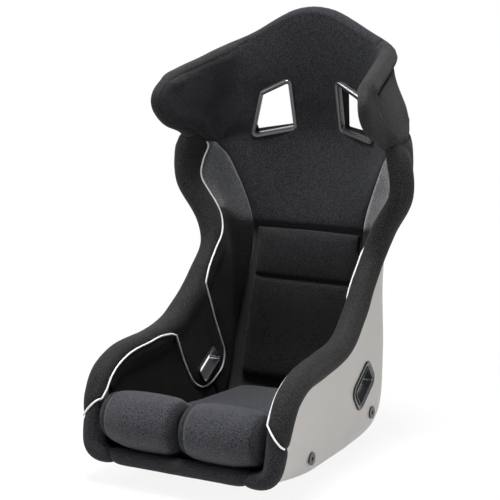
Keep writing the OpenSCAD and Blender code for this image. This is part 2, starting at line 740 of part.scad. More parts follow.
module piping(s) {
    seat(silver_cord) side(s) skin([for (k = [0:0.75:len(piping_knots) - 1])
        cord_ring(piping_knots, k, piping_d / 2)]);
}

module piping_left() {
    piping(-1);
}

module piping_right() {
    piping(1);
}

// ---- Cushions --------------------------------------------------------------------------------
// Circle of a cushion's side view, its underside lifted towards the pan's rounded corner
function lifted(y, z, r, rise, x) =
    let (k = rise * pow(clamp((x - 110) / 65), 1.5))
    [y, z + k / 2, r - k / 2];

module thigh_cushion(s) {
    x0 = thigh_split / 2;
    half = thigh_len / 2;
    xs = [0, 2.5, 7, 16, 0.5 * half, 0.75 * half, half];
    function at(d) =
        let (e = min(d, thigh_len - d), swell = cushion_crown * (1 - pow((d - half) / half, 2)))
        [for (p = belt([lifted(thigh_y, thigh_nose_z, thigh_nose_r, 14, x0 + d),
            lifted(-60, 70, 44, 34, x0 + d), lifted(thigh_rear_y, 62, 42, 40, x0 + d)],
            end_inset(e) + cushion_crown - swell, 24)) [x0 + d, p[0], p[1]]];
    seat(knit) side(s) skin([for (d = xs) at(d), for (k = [len(xs) - 2:-1:0]) at(thigh_len - xs[k])]);
}

module thigh_cushion_left() {
    thigh_cushion(-1);
}

module thigh_cushion_right() {
    thigh_cushion(1);
}

module base_cushion() {
    w = base_half_w;
    xs = [0, 2.5, 7, 16, 32, 60];
    front = thigh_rear_y + 46;
    rear = back_depth - 62;
    function at(d) =
        let (e = min(d, 2 * w - d), k = clamp((e - 2) / 45), up = 34 * pow(1 - k, 1.6),
            swell = cushion_crown * 2 * (1 - pow((d - w) / w, 2)),
            front_top = base_front_z - 18 + swell, rear_top = base_back_z - 16 + swell)
        [for (p = belt([[front + 14, seat_rise + 14 + up, 14], [front + 18, front_top, 18],
            [rear, rear_top, 16], [rear - 8, rear_top - 4, 18],
            [rear - 82, seat_rise + 14 + up, 14]], end_inset(e), 24)) [d - w, p[0], p[1]]];
    seat(knit) skin([for (d = xs) at(d), at(w), for (k = [len(xs) - 1:-1:0]) at(2 * w - xs[k])]);
}

channel_at = 7.1;
back_rows = [5.52, 5.67, 6, 6.5, channel_at - 0.15, channel_at, channel_at + 0.15, 7.5, 7.8, 7.97];
back_top = len(back_rows) - 1;
// Share of the middle panel that the cushion fills, so that it lifts out between the sides
back_share = [[5.5, 0.8], [6, 0.83], [6.5, 0.86], [7, 0.92], [7.5, 0.95], [8, 0.95]];
back_narrow = function (v) lookup(v, back_share);
back_face = function (v, q)
    let (a = lookup(v, panel_edge) * back_narrow(v), low = v < channel_at,
        v0 = low ? back_rows[0] : channel_at, v1 = low ? channel_at : back_rows[back_top],
        lobe = sqrt(max(0, sin(180 * clamp((v - v0) / (v1 - v0))))),
        side = 1 - pow(abs(q) / a, 4))
    loop_face(v, q) - 0.1 - back_pad_t + 3 - (cushion_crown + 3) * lobe * side
        + (channel_depth - 3) * (1 - lobe) * side;

module back_cushion() {
    seat(dark_cloth) quilt([[0, back_top, -panel_col, panel_col]], back_face,
        function (v, q) loop_face(v, q) - 0.2 - 1.2 * clamp(14 - 2 * v), trim = 2 * seam_gap,
        list = back_rows, narrow = back_narrow);
}

// ---- Hook and loop strips --------------------------------------------------------------------
module strips(v0, v1, low, high) {
    for (s = [-1, 1]) side(s) quilt([cells(v0, v1, 1, 3)], low, high);
}

module hook_strips() {
    seat(felt) {
        strips(3.5, 4, hook_face, hook_back);
        strips(6.5, 7.5, hook_face, hook_back);
    }
}

module back_loop_strips() {
    seat(felt) strips(6.5, 7.5, loop_face, loop_back);
}

module base_loop_strips() {
    seat(felt) strips(3.5, 4, loop_face, loop_back);
}

// ---- Slot trims ------------------------------------------------------------------------------
module shoulder_bezel(s) {
    seat(satin) side(s) at_shoulder_slot() {
        translate([0, 0, -bezel_back]) ring(slot_line(0), slot_line(bezel_w), bezel_back + bezel_h - 1.5);
        translate([0, 0, bezel_h - 2]) ring(slot_line(1.6), slot_line(bezel_w - 1), 2);
        difference() {
            translate([0, 0, -50]) ring(slot_line(bezel_w - slot_wall), slot_line(bezel_w), 45);
            translate([0, 0, back_plane - 3]) rotate(back_tilt) translate([-100, -100, -80])
                cube([200, 200, 80]);
        }
    }
}

module shoulder_ring(s) {
    seat(satin) side(s) at_shoulder_slot() translate([0, 0, back_plane]) rotate(back_tilt)
        translate([0, 0, -3]) ring(slot_line(0), slot_line(bezel_w - slot_wall - 1.4), 3);
}

module lap_frame(s) {
    seat(satin) side(s) at_lap_slot() translate([0, 0, 0.4])
        ring(lap_line(-lap_frame_w - slot_wall), lap_line(-slot_wall - 0.4), 3);
}

module lap_sleeve(s) {
    seat(dark_cloth) side(s) at_lap_slot() translate([0, 0, -24])
        ring(lap_line(-slot_wall), lap_line(0), 27);
}

module crotch_slot_trim() {
    deck = shell_t + pad_gap + liner_t + 0.4;
    seat(satin) at_crotch_slot() {
        translate([0, 0, 0.3]) ring(crotch_line(-slot_wall), crotch_line(0), deck + 1.4);
        translate([0, 0, deck + 1]) ring(crotch_line(-slot_wall - 5), crotch_line(0), 1.5);
    }
}

module shoulder_bezel_left() {
    shoulder_bezel(-1);
}

module shoulder_bezel_right() {
    shoulder_bezel(1);
}

module shoulder_ring_left() {
    shoulder_ring(-1);
}

module shoulder_ring_right() {
    shoulder_ring(1);
}

module lap_frame_left() {
    lap_frame(-1);
}

module lap_frame_right() {
    lap_frame(1);
}

module lap_sleeve_left() {
    lap_sleeve(-1);
}

module lap_sleeve_right() {
    lap_sleeve(1);
}

shell();
head_pad();
pan_liner();
back_liner();
mesh_panel_left();
mesh_panel_right();
waist_panel_left();
waist_panel_right();
hip_panel_left();
hip_panel_right();
thigh_panel_left();
thigh_panel_right();
side_bolster_left();
side_bolster_right();
front_corner_left();
front_corner_right();
front_lip_pad();
wing_edge_left();
wing_edge_right();
head_top_roll();
wing_cover_left();
wing_cover_right();
shoulder_cover_left();
shoulder_cover_right();
piping_left();
piping_right();
back_cushion();
base_cushion();
thigh_cushion_left();
thigh_cushion_right();
hook_strips();
back_loop_strips();
base_loop_strips();
shoulder_bezel_left();
shoulder_bezel_right();
shoulder_ring_left();
shoulder_ring_right();
lap_frame_left();
lap_frame_right();
lap_sleeve_left();
lap_sleeve_right();
crotch_slot_trim();
mount_insert_front_left();
mount_insert_front_right();
mount_insert_rear_left();
mount_insert_rear_right();
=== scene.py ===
# Racing bucket seat with head wings, dressed over its packed frame: sewn covers on the shell,
# four loose cushions, piping, harness slot trims and side-mount inserts.
import math
from functools import cache

import bmesh
import bpy
import numpy as np
from mathutils import Matrix, Vector, noise
from mathutils.kdtree import KDTree


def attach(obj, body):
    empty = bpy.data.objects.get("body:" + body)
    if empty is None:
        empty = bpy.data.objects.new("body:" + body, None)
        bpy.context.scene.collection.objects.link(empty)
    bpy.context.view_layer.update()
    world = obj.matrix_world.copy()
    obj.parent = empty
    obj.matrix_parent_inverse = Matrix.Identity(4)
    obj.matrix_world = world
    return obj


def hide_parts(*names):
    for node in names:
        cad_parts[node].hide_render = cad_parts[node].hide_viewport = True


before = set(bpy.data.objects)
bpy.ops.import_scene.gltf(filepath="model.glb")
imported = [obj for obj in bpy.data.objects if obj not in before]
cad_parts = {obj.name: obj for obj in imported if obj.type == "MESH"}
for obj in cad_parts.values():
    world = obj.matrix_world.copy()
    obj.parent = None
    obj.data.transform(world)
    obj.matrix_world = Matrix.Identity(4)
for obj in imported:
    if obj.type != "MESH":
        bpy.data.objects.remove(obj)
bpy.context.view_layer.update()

bl_info = {
    "name": "Racing Bucket Seat",
    "version": (1, 0, 0),
    "blender": (4, 5, 0),
    "location": "View3D > Sidebar > Seat",
    "description": "Builds the covers, cushions, trims and studio of a racing bucket seat",
    "category": "Add Mesh",
}

# ---- Lines of the shell, in millimetres, as the frame has them ----------------------------------
PAN_W, FLARE, BACK, LIP, LIP_Z = 191, 6, 384, 178, 57
CREST, WAIST, SHOULDER, SHOULDER_W = 230, 394, 540, 252
WING_W, WING_REACH, WING_Z = 232, 260, 715
CROWN_Z, CROWN_RISE, CROWN_W = 811, 71, 195
SHELL_T, PAD_GAP, LINER_T = 4, 0.8, 3
ROLL_R, WING_R, LIP_R = 25, 21, 16.5
COVER_T = 10
SLOT_Z = 680
RIM_W = PAN_W + FLARE
LIP_Y = -LIP
CROWN_Y = BACK + 19
TIP_Y = CROWN_Y - WING_REACH
# One row for each place along, from the lip to the crown: centre y, z; rim x, y, z; corner
# half-width; corner setback; bow; rise of the dome
STATIONS = np.array([
    [LIP_Y, LIP_Z, RIM_W + 6, LIP_Y + 26, CREST - 72, PAN_W + 8, 34, 0, 0],
    [LIP_Y + 38, LIP_Z - 18, RIM_W + 7, LIP_Y + 55, CREST - 27, PAN_W + 5, 46, 0, 0],
    [LIP_Y + 106, LIP_Z - 40, RIM_W + 4, LIP_Y + 118, CREST - 2, PAN_W, 60, 0, 0],
    [45, 0, RIM_W - 1, 25, CREST + 3, PAN_W, 62, 0, 0],
    [200, 0, RIM_W + 1, 120, CREST + 19, PAN_W, 62, 0, 0],
    [BACK - 34, 22, RIM_W - 3, 196, CREST + 67, PAN_W, 66, 0, 0],
    [BACK, 140, RIM_W - 7, 240, WAIST - 53, PAN_W, 70, 2, 0],
    [BACK, 300, RIM_W - 6, 288, WAIST, PAN_W, 72, 4, 0],
    [BACK + 13, 430, (RIM_W + SHOULDER_W) / 2 - 14, 300, WAIST + 61, PAN_W + 12, 80, 12, 0],
    [BACK + 40, SHOULDER, SHOULDER_W, 290, SHOULDER - 10, SHOULDER_W - 20, 100, 40, 0],
    [BACK + 57, SHOULDER + 80, SHOULDER_W - 4, 276, SHOULDER + 70, SHOULDER_W - 12, 110, 62, 0],
    [BACK + 54, SHOULDER + 128, WING_W, 247, SHOULDER + 115, SHOULDER_W - 30, 100, 55, 0],
    [BACK + 40, SHOULDER + 182, WING_W - 2, TIP_Y + 37, WING_Z - 37, WING_W - 27, 80, 38, 0],
    [CROWN_Y + 4, CROWN_Z - 48, WING_W, TIP_Y, WING_Z + 1, WING_W - 42, 60, 16, CROWN_RISE - 10],
    [CROWN_Y, CROWN_Z, WING_W - 8, TIP_Y + 31, WING_Z + 35, WING_W - 52, 50, 4, CROWN_RISE],
], float)
LAST = len(STATIONS) - 1
# Length of a corner's curve, for a setback of 1
CORNER_ARC = 1.62
# Share of the half section at which the middle panel ends, for the foam and for the seams
FOAM_EDGE = ((0, .36), (4, .36), (5, .43), (6.5, .49), (8.1, .51), (9, .61), (9.5, .68),
             (10, .82), (10.5, .68), (11, .6), (14, .45))
SEAM_EDGE = ((0, .36), (4, .36), (5, .43), (6.5, .49), (8.1, .51), (9, .6), (9.5, .67),
             (10, .8), (14, .8))
MID_FOAM = ((8, 14), (10, 14), (12, 14), (14, 17))
SIDE_FOAM = ((0, 10), (3.5, 11), (5, 13), (7, 17), (8, 19), (8.5, 31), (9, 40), (9.6, 39),
             (10, 33), (11, 26), (12, 18), (14, 15))
EDGE_FOAM = ((0, 11), (3.5, 12), (5.4, 18), (6.3, 18), (7.3, 21), (8.1, 24), (9.2, 25),
             (10, 28), (11, 20), (12, 14), (14, 14))
OUTER_FOAM = ((0, 3), (7, 3), (8, COVER_T), (14, COVER_T))
# How far the roll's skin reaches down from the rim, and the least slope that counts for it
SKIRT = ((-1, 22), (0, 24), (1.2, 30), (10.3, 30), (11.3, 24), (12.6, 22), (13.1, 15), (15, 15))
LEAST_LEAN = ((0, .8), (.75, .45), (13.3, .36), (14, .8))
# Where on the roll's section the cover's seam runs: 0 is its inner edge, 5 the crest, 11 the
# outer edge
SEAM_ON_ROLL = ((-1, 3), (0, 3), (.4, 2.4), (1, 2.2), (1.6, 2.3), (2.2, 2.4), (3, 2.7), (3.2, 2.6),
                (3.6, 1.9), (3.8, 1.1), (4, .5), (5.3, .9), (5.4, 1.8), (5.6, 2.3), (6, 2.9),
                (6.4, 3.2), (6.8, 3.2), (7, 2.9), (7.4, 1.8), (7.6, 1.3), (7.9, .95), (8.3, 1.15),
                (8.8, 1.05), (9.2, .8), (9.6, .05), (9.8, -.6), (10, -1.1), (10.1, -.65),
                (10.3, .25), (10.6, 1.15), (11, 2.1), (11.5, 3.2), (12.2, 4.1), (13, 4.1),
                (13.6, 3.85), (14, 3.3), (14.2, 3.4), (14.6, 2.9), (15, 3))
ROLL_END = 11
# A seam below 0 lies on the pads, this many millimetres from the roll for each step
PAD_STEP = 15
# The loop that the piping draws round the lap slot, as places (along, across)
HIP_LOOP = ((5.36, .8), (5.36, .7), (5.34, .6), (5.1, .56), (4.8, .56), (4.6, .56), (4.35, .58),
            (4.15, .64), (4.05, .72), (3.98, .8))
# Places along: the pads' start, the seam between the inner side panels, the ends of the hip loop
# on the roll, the mesh panels' ends, the wings' neck, the bend into the crown, and the seams of
# the crown and of the front corners on the roll
START, PANEL_SEAM, LOOP_FRONT, LOOP_REAR = .55, 4.67, 3.8, 5.5
MESH_LOW, MESH_HIGH, NECK, BEND = 8, 10, 10.6, 12.6
CROWN_SEAM, CORNER = 14.62, -.47
# Where the piping starts; the cells that it runs down the front corner; how deep it sinks in
PIPING_TOP, PIPING_TAIL, PIPING_SINK = 10.05, 12, 2.2
# Least width of the cloth between the pads and the seam, above the mesh panels' lower end
LEAST_BAND = 8
# Cells that the seam between the inner side panels runs on before the hip loop
PANEL_CELLS = 14
# How far along the front corner's seam falls on its way outwards
FRONT_SLANT = .12
# Millimetres between the pads' last row and the crown's rim
CROWN_GAP = 15
# Each side's name and sign of X, and the factors that give the right half and the left from it
SIDES = (("left", -1), ("right", 1))
HALVES = ((1, 1, 1), (-1, 1, 1))


def table(rows, x, blur=0.0):
    """Value of a table at x, its corners rounded over +-2 * blur."""
    k, v = zip(*rows)
    if not blur:
        return np.interp(x, k, v)
    return sum(w * np.interp(x + d * blur, k, v)
               for d, w in ((-2, .1), (-1, .2), (0, .4), (1, .2), (2, .1)))


def unit(a):
    """Vectors at length one."""
    return a / np.maximum(np.linalg.norm(a, axis=-1, keepdims=True), 1e-12)


def smooth(x):
    """Soft step from 0 to 1."""
    x = np.clip(x, 0, 1)
    return x * x * (3 - 2 * x)


def window(x, start, rise, end, fall):
    """1 between start and end, softened over the lengths rise and fall inside them."""
    return smooth((x - start) / rise) * smooth((end - x) / fall)


def middles(a):
    """Values halfway between neighbours."""
    return (a[1:] + a[:-1]) / 2


def running(points):
    """Length run from the first point to each point."""
    return np.r_[0, np.cumsum(np.linalg.norm(np.diff(points, axis=0), axis=1))]


def sample(points, run, at):
    """Points at the places at of a running length."""
    return np.stack([np.interp(at, run, c) for c in points.T], -1)


def finder(points):
    """Search tree that finds the nearest of some points."""
    tree = KDTree(len(points))
    for i, p in enumerate(points):
        tree.insert(p, i)
    tree.balance()
    return tree


def catmull(points, k):
    """Catmull-Rom curve through points (last axis but one) at places k."""
    n = len(points) - 1
    k = np.asarray(k, float)
    i = np.clip(np.floor(k).astype(int), 0, n - 1)
    t = (k - i)[..., None]
    p1, p2 = points[i], points[i + 1]
    p0 = np.where((i > 0)[..., None], points[np.maximum(i - 1, 0)], 2 * p1 - p2)
    p3 = np.where((i < n - 1)[..., None], points[np.minimum(i + 2, n)], 2 * p2 - p1)
    return .5 * (2 * p1 + (p2 - p0) * t + (2 * p0 - 5 * p1 + 4 * p2 - p3) * t * t
                 + (3 * p1 - p0 - 3 * p2 + p3) * t ** 3)


def station(v):
    """The lines' row at any place along, never under the ground."""
    s = catmull(STATIONS, v)
    s[..., 1] = np.maximum(s[..., 1], 0)
    return s


def half_section(v):
    """Numbers of the half section at v.

    It runs out flat to x1, round a corner from there to b, drawn towards the point (wc, ky), and
    up a wall to the rim; x is across and y goes from the centre towards the rim.
    """
    cy, cz, rx, ry, rz, wc, rc, bow, rise = np.moveaxis(station(v), -1, 0)
    h = np.hypot(ry - cy, rz - cz)
    x1 = wc - rc
    ay = bow * (x1 / wc) ** 2
    ky = ay + 2 * bow * x1 / wc ** 2 * rc
    el = np.hypot(rx - wc, h - ky)
    bx, by = wc + rc * (rx - wc) / el, ky + rc * (h - ky) / el
    wall = np.hypot(rx - bx, h - by)
    return cy, cz, rx, ry, rz, wc, bow, rise, h, ay, ky, bx, by, x1, CORNER_ARC * rc, wall


def half_length(v):
    """Length of the half section from the middle to the rim."""
    *_, flat, arc, wall = half_section(np.asarray(v, float))
    return flat + arc + wall


def outer(v, q):
    """Points of the shell's outer surface."""
    v, q = np.broadcast_arrays(np.asarray(v, float), np.asarray(q, float))
    cy, cz, rx, ry, rz, wc, bow, rise, h, ay, ky, bx, by, x1, arc, wall = half_section(v)
    d = np.abs(q) * (x1 + arc + wall)
    t = np.clip((d - x1) / arc, 0, 1)
    far = np.maximum(d - x1 - arc, 0)
    px = np.where(d <= x1, d, (1 - t) ** 2 * x1 + 2 * t * (1 - t) * wc + t * t * bx
                  + (rx - bx) / wall * far)
    py = np.where(d <= x1, bow * (d / wc) ** 2, (1 - t) ** 2 * ay + 2 * t * (1 - t) * ky
                  + t * t * by + (h - by) / wall * far)
    dome = rise * (.5 + .5 * np.cos(np.pi * np.minimum(px / CROWN_W, 1)))
    return np.stack([np.sign(q) * px, cy + (ry - cy) / h * py, cz + (rz - cz) / h * py + dome], -1)


def normal(v, q):
    """Outward normals of that surface."""
    step = .02
    v, q = np.broadcast_arrays(np.asarray(v, float), np.asarray(q, float))
    along = outer(np.minimum(v + step, LAST), q) - outer(np.maximum(v - step, 0), q)
    across = outer(v, np.minimum(q + step, 1)) - outer(v, np.maximum(q - step, -1))
    return unit(np.cross(along, across))


# Half-way between the thigh cushions' fronts and the rearmost cover
THIGH_Y, THIGH_R = LIP_Y + 30, 56
MID_Y = (THIGH_Y - THIGH_R + outer(np.arange(0, LAST + .01, .5), 0)[..., 1].max() + .7) / 2


def place(points):
    """From the shell's lines to the frame, in metres."""
    return (np.asarray(points, float) - (0, MID_Y, 0)) * .001


# ---- The rim and the roll on it -----------------------------------------------------------------
def rim_lines():
    """Rounded rim line with its tangents and normals, one sample for each millimetre.

    Places on it run from -1, the middle of the lip, to LAST + 1, the middle of the crown.
    """
    u = np.linspace(-1, LAST + 1, 3201)
    v = np.clip(u, 0, LAST)
    q = np.where(u < 0, u + 1, np.where(u > LAST, LAST + 1 - u, 1))
    p, n = outer(v, q), normal(v, q)
    s = running(p)
    even = np.arange(0, s[-1], 1.0)
    p, n = sample(p, s, even), sample(n, s, even)
    reach, width, pad = 30, 11, 40
    kernel = np.exp(-(np.arange(-reach, reach + 1) / width) ** 2)
    kernel /= kernel.sum()

    def eased(a):
        """Averages a line's values, mirrored past both ends."""
        flip = a * (-1, 1, 1)
        long = np.r_[flip[pad:0:-1], a, flip[-2:-pad - 2:-1]]
        return np.stack([np.convolve(c, kernel, "same") for c in long.T], 1)[pad:-pad]
    p, n = eased(p), eased(n)
    t = unit(np.gradient(p, axis=0))
    n = unit(n - t * (n * t).sum(1, keepdims=True))
    return u, s, even, p, t, n


RIM = rim_lines()


def rim_at(u):
    """Rim point, tangent, outward normal and the direction off the rim."""
    u_all, s_all, even, *lines = RIM
    s = np.interp(u, u_all, s_all)
    p, t, n = (sample(a, even, s) for a in lines)
    return p, unit(t), unit(n), unit(np.cross(n, t))


def roll_sizes(u):
    """Radius, skirt, inner and outer reach of the roll, which is slimmer on the lip."""
    lip = np.clip(-u / .5, 0, 1)
    v = np.clip(u, 0, LAST)
    r = table(((0, ROLL_R), (9.5, ROLL_R), (11.5, WING_R)), u, .15)
    r = r + (LIP_R - r) * lip
    inner_foam = table(EDGE_FOAM, v, .1) * (1 - lip) + (LINER_T + 4) * lip
    return (r, table(SKIRT, u, .12), SHELL_T / 2 + PAD_GAP + inner_foam,
            SHELL_T / 2 + PAD_GAP + table(OUTER_FOAM, v, .1))


def roll(u, s):
    """Points of the roll's skin; u has shape (n,) and s (n, m)."""
    r, skirt, inner, out = roll_sizes(u)
    bends = np.radians(np.arange(0, 181, 30))
    control_in = np.stack([inner, inner + (r - inner) * .75] + [r * math.cos(a) for a in bends]
                          + [-out - (r - out) * .85, -out - (r - out) * .4, -out], 1)
    control_off = np.stack([-skirt, -.55 * skirt] + [r * math.sin(a) for a in bends]
                           + [-.4 * skirt, -.8 * skirt, -skirt], 1)
    points = np.stack([control_in, control_off], -1)
    flat = np.stack([catmull(points[k], s[k]) for k in range(len(u))])
    p, _, n, w = (a[:, None, :] for a in rim_at(u))
    return p - n * (SHELL_T / 2 + flat[..., :1]) + w * flat[..., 1:]


# ---- Grid of the inner covers -------------------------------------------------------------------
def roll_edge(v):
    """Share at which the pads stop and the roll begins."""
    t = rim_at(np.asarray(v, float))[1]
    side = unit(outer(v, 1) - outer(v, .97))
    lean = np.linalg.norm(np.cross(t, side), axis=-1)
    return 1 - table(SKIRT, v, .12) / half_length(v) / np.maximum(lean, table(LEAST_LEAN, v))


def foam(v, q):
    """Thickness of the foam."""
    q = np.abs(q)
    a, e = table(FOAM_EDGE, v, .12), roll_edge(v)
    m, s, r = (table(t, v, .12) for t in (MID_FOAM, SIDE_FOAM, EDGE_FOAM))
    return np.where(q < a, m + (s - m) * (q / a) ** 2,
                    s + (r - s) * np.clip((q - a) / (e - a), 0, 1))


def between(keys, pitch, q=.5):
    """Nodes along the shell that include the keys, about pitch millimetres apart."""
    out = [keys[0]]
    for a, b in zip(keys, keys[1:]):
        k = np.linspace(a, b, 40)
        length = np.linalg.norm(np.diff(outer(k, q), axis=0), axis=1).sum()
        out += list(np.linspace(a, b, max(2, int(length / pitch) + 1))[1:])
    return np.array(out)


PITCH = 5.2
ROWS = between([START, 1, 4, PANEL_SEAM, 5.34, MESH_LOW, MESH_HIGH, NECK, BEND, LAST], PITCH)
# Cells across: the middle panel, the side panel, the roll inside its seam and outside it
MID_COLS, SIDE_COLS, IN_COLS, OUT_COLS = 26, 26, 9, 22
COLS = np.r_[np.linspace(0, 1, MID_COLS + 1), np.linspace(1, 2, SIDE_COLS + 1)[1:]]
OUTER_COLS = np.linspace(.55, 2, 46)
# Padding on the wings' outside, and how often their cloth is pulled straight and drawn tight
WING_SWELL = 7.0
WING_ROUNDS, DRAWN_ROUNDS = 160, 900


def edges(v):
    """Shares at which the middle panel and the pads end."""
    e = roll_edge(v)
    return np.minimum(table(SEAM_EDGE, v, .1), e - .05), e


def share(v, c):
    """Across at column c: 1 is the middle panel's edge and 2 the roll's."""
    a, e = edges(v)
    return np.where(c <= 1, a * c, a + (e - a) * (c - 1))


def top_row(q):
    """Where the pads stop under the crown's roll."""
    speed = (outer(LAST, q) - outer(LAST - .1, q)) * 10
    line = unit(outer(LAST, np.minimum(q + .01, 1)) - outer(LAST, q - .01))
    slope = np.linalg.norm(np.cross(speed, line), axis=-1)
    return np.clip(LAST - CROWN_GAP / slope, 13.4, 13.95)


def to_crown(v, q):
    """Places along, those past the bend spread so that the last ends under the crown's roll."""
    return np.where(v > BEND, BEND + (v - BEND) / (LAST - BEND) * (top_row(q) - BEND), v)


def inner_grid():
    """Half grid of the inner covers on the foam, and the rim's places over its last row."""
    r, c = np.meshgrid(ROWS, COLS, indexing="ij")
    v = to_crown(r, share(r, c))
    q = share(v, c)
    p = outer(v, q) - normal(v, q) * (SHELL_T + PAD_GAP + foam(v, q))[..., None]
    side = roll(ROWS, np.zeros((len(ROWS), 1)))[:, 0] - p[:, -1]
    top_u = LAST + 1 - q[-1] / q[-1, -1]
    top = roll(top_u, np.zeros((len(top_u), 1)))[:, 0] - p[-1]
    to_side, to_top = smooth((c - 1.3) / .7)[..., None], smooth((r - 13.1) / .9)[..., None]
    return (p + to_side * side[:, None] + to_top * top[None]
            - to_side * to_top * top[None, -1:]), top_u


def strip(u, low, high, count):
    """Part of the roll between two lines of its section, slanted at the front corner."""
    s = low[:, None] + (high - low)[:, None] * np.linspace(0, 1, count + 1)
    out = np.empty(s.shape + (3,))
    for j in range(s.shape[1]):
        shift = FRONT_SLANT * smooth((s[:, j] - 3) / 4) * np.exp(-(u / .4) ** 2)
        out[:, j] = roll(u - shift, s[:, j:j + 1])[:, 0]
    return out


def seam_line(u):
    """Place of the cover's seam on the roll's section."""
    return table(SEAM_ON_ROLL, u, .06)


# ---- Meshes -------------------------------------------------------------------------------------
def link(mesh, name):
    """A mesh as a piece in the scene."""
    obj = bpy.data.objects.new(name, mesh)
    bpy.context.scene.collection.objects.link(obj)
    return obj


def grid_normals(p, toward):
    """Normals of a grid on the side of the direction field toward."""
    n = unit(np.cross(np.gradient(p, axis=0), np.gradient(p, axis=1)))
    return n * np.where((n * toward).sum(-1) < 0, -1, 1)[..., None]


def lengths(p):
    """Running length across and along a grid, in metres."""
    across = np.cumsum(np.linalg.norm(np.diff(p, axis=1, prepend=p[:, :1]), axis=-1), 1)
    along = np.cumsum(np.linalg.norm(np.diff(p, axis=0, prepend=p[:1]), axis=-1), 0)
    return np.stack([across, along], -1) * .001


class Cloth:
    """Collects grids that become one piece of cover."""

    def __init__(self):
        self.verts, self.norms, self.uvs, self.faces = [], [], [], []

    def add(self, p, n, keep=True, uv=None):
        """Adds a grid of points, with its normals, the cells kept and its texture places."""
        rows, cols = p.shape[:2]
        keep = np.broadcast_to(keep, (rows - 1, cols - 1))
        uv = lengths(p) if uv is None else uv
        base = len(self.verts)
        self.verts += list(p.reshape(-1, 3))
        self.norms += list(n.reshape(-1, 3))
        self.uvs += list(uv.reshape(-1, 2))
        for i, j in zip(*np.nonzero(keep)):
            a = base + i * cols + j
            f = (a, a + 1, a + cols + 1, a + cols)
            x = np.cross(p[i, j + 1] - p[i, j], p[i + 1, j] - p[i, j])
            self.faces.append(f if np.dot(x, n[i, j]) > 0 else f[::-1])
        return self

    def build(self, name, tuck=7, weld=.6):
        """The piece, its open edges folded under by tuck millimetres."""
        used = sorted({k for f in self.faces for k in f})
        index = {k: i for i, k in enumerate(used)}
        mesh = bpy.data.meshes.new(name)
        mesh.from_pydata([Vector(place(self.verts[k])) for k in used], [],
                         [[index[k] for k in f] for f in self.faces])
        layer = mesh.uv_layers.new(name="UVMap")
        loops = [self.uvs[k] for f in self.faces for k in f]
        layer.data.foreach_set("uv", np.array(loops, float).ravel())
        bm = bmesh.new()
        bm.from_mesh(mesh)
        down = bm.verts.layers.float_vector.new("down")
        for v, k in zip(bm.verts, used):
            v[down] = -self.norms[k]
        bmesh.ops.remove_doubles(bm, verts=bm.verts, dist=weld * .001)
        if tuck:
            rim = [e for e in bm.edges if e.is_boundary]
            made = bmesh.ops.extrude_edge_only(bm, edges=rim)["geom"]
            for v in made:
                if isinstance(v, bmesh.types.BMVert):
                    v.co += v[down].normalized() * tuck * .001
        for f in bm.faces:
            f.smooth = True
        bm.to_mesh(mesh)
        bm.free()
        return link(mesh, name)


# ---- Seams and the way cloth lies near them -----------------------------------------------------
# Spacing of a seam's points; reach of its wide dip; size and reach of the puckers beside it; size
# of the foam's slow waves, and how far from a seam they are whole
SEAM_PITCH, WIDE_DIP, PUCKER, PUCKER_REACH, WAVE, WAVE_START = 1.5, 16, 11, 14, 46, 12
WAVE_SHIFT = Vector((3, 1, 7))


class Seams:
    """Sewn lines: the cloth dips into them and puckers beside them."""

    def __init__(self):
        self.points = []

    def add(self, *lines):
        """Adds lines of points, in millimetres."""
        for line in lines:
            run = running(line)
            self.points += list(sample(line, run, np.arange(0, run[-1], SEAM_PITCH)))

    def tree(self):
        """Search tree over the seams."""
        return finder(self.points)


def soften(p, n, tree, depth, width, ripple, loose):
    """Cloth over foam: dips at the seams, ripples beside them and a slight unevenness."""
    flat, norms = p.reshape(-1, 3), n.reshape(-1, 3)
    out = flat.copy()
    for i, (a, b) in enumerate(zip(flat, norms)):
        d = tree.find(a)[2]
        dip = depth * math.exp(-(d / width) ** 2) + .3 * depth * math.exp(-(d / WIDE_DIP) ** 2)
        x = Vector(a)
        near = math.exp(-(d / PUCKER_REACH) ** 2)
        fine = noise.noise(x / PUCKER) * ripple * near * min(1, d / 3)
        wide = noise.noise(x / WAVE + WAVE_SHIFT) * loose * min(1, d / WAVE_START)
        out[i] = a + b * (fine + wide - dip)
    return out.reshape(p.shape)


def relaxed(p, weight, rounds, axis):
    """A grid's points drawn towards their neighbours along one axis."""
    p = np.moveaxis(p, axis, 0).copy()
    w = np.moveaxis(weight, axis, 0)[1:-1, ..., None] * .5
    for _ in range(rounds):
        p[1:-1] += w * ((p[2:] + p[:-2]) / 2 - p[1:-1])
    return np.moveaxis(p, 0, axis)


# ---- Places of the slots ------------------------------------------------------------------------
def turn(a, b, c):
    """OpenSCAD's rotate([a, b, c])."""
    return (Matrix.Rotation(math.radians(c), 4, "Z") @ Matrix.Rotation(math.radians(b), 4, "Y")
            @ Matrix.Rotation(math.radians(a), 4, "X"))


# Places on the shell's grid, outlines, lengths, widths and corner radii of the harness slots
LAP_AT, CROTCH_AT = (4.66, .66), 2.65
SHOULDER_CORNERS = np.array(((-37.4, 74.4), (-50.6, -46.2), (55.5, -67.8), (32.5, 39.6)))
LAP_LEN, LAP_W, LAP_ANGLE, LAP_SKEW = 74, 40, 32, 7
CROTCH_LEN, CROTCH_W = 90, 34
SHOULDER_R, LAP_R, CROTCH_R, LEAST_R = 12, 7, 15, 3
SHOULDER_PLACE = (Matrix.Translation((92.75, BACK + 13, SLOT_Z))
                  @ turn(0, 0, -22.6) @ turn(104, 0, 0))


def lap_place():
    """Frame of the right lap slot, Z out of the shell."""
    n = normal(*LAP_AT)
    return (Matrix.Translation(outer(*LAP_AT))
            @ turn(0, math.degrees(math.acos(n[2])), math.degrees(math.atan2(n[1], n[0])))
            @ turn(0, 0, 90))


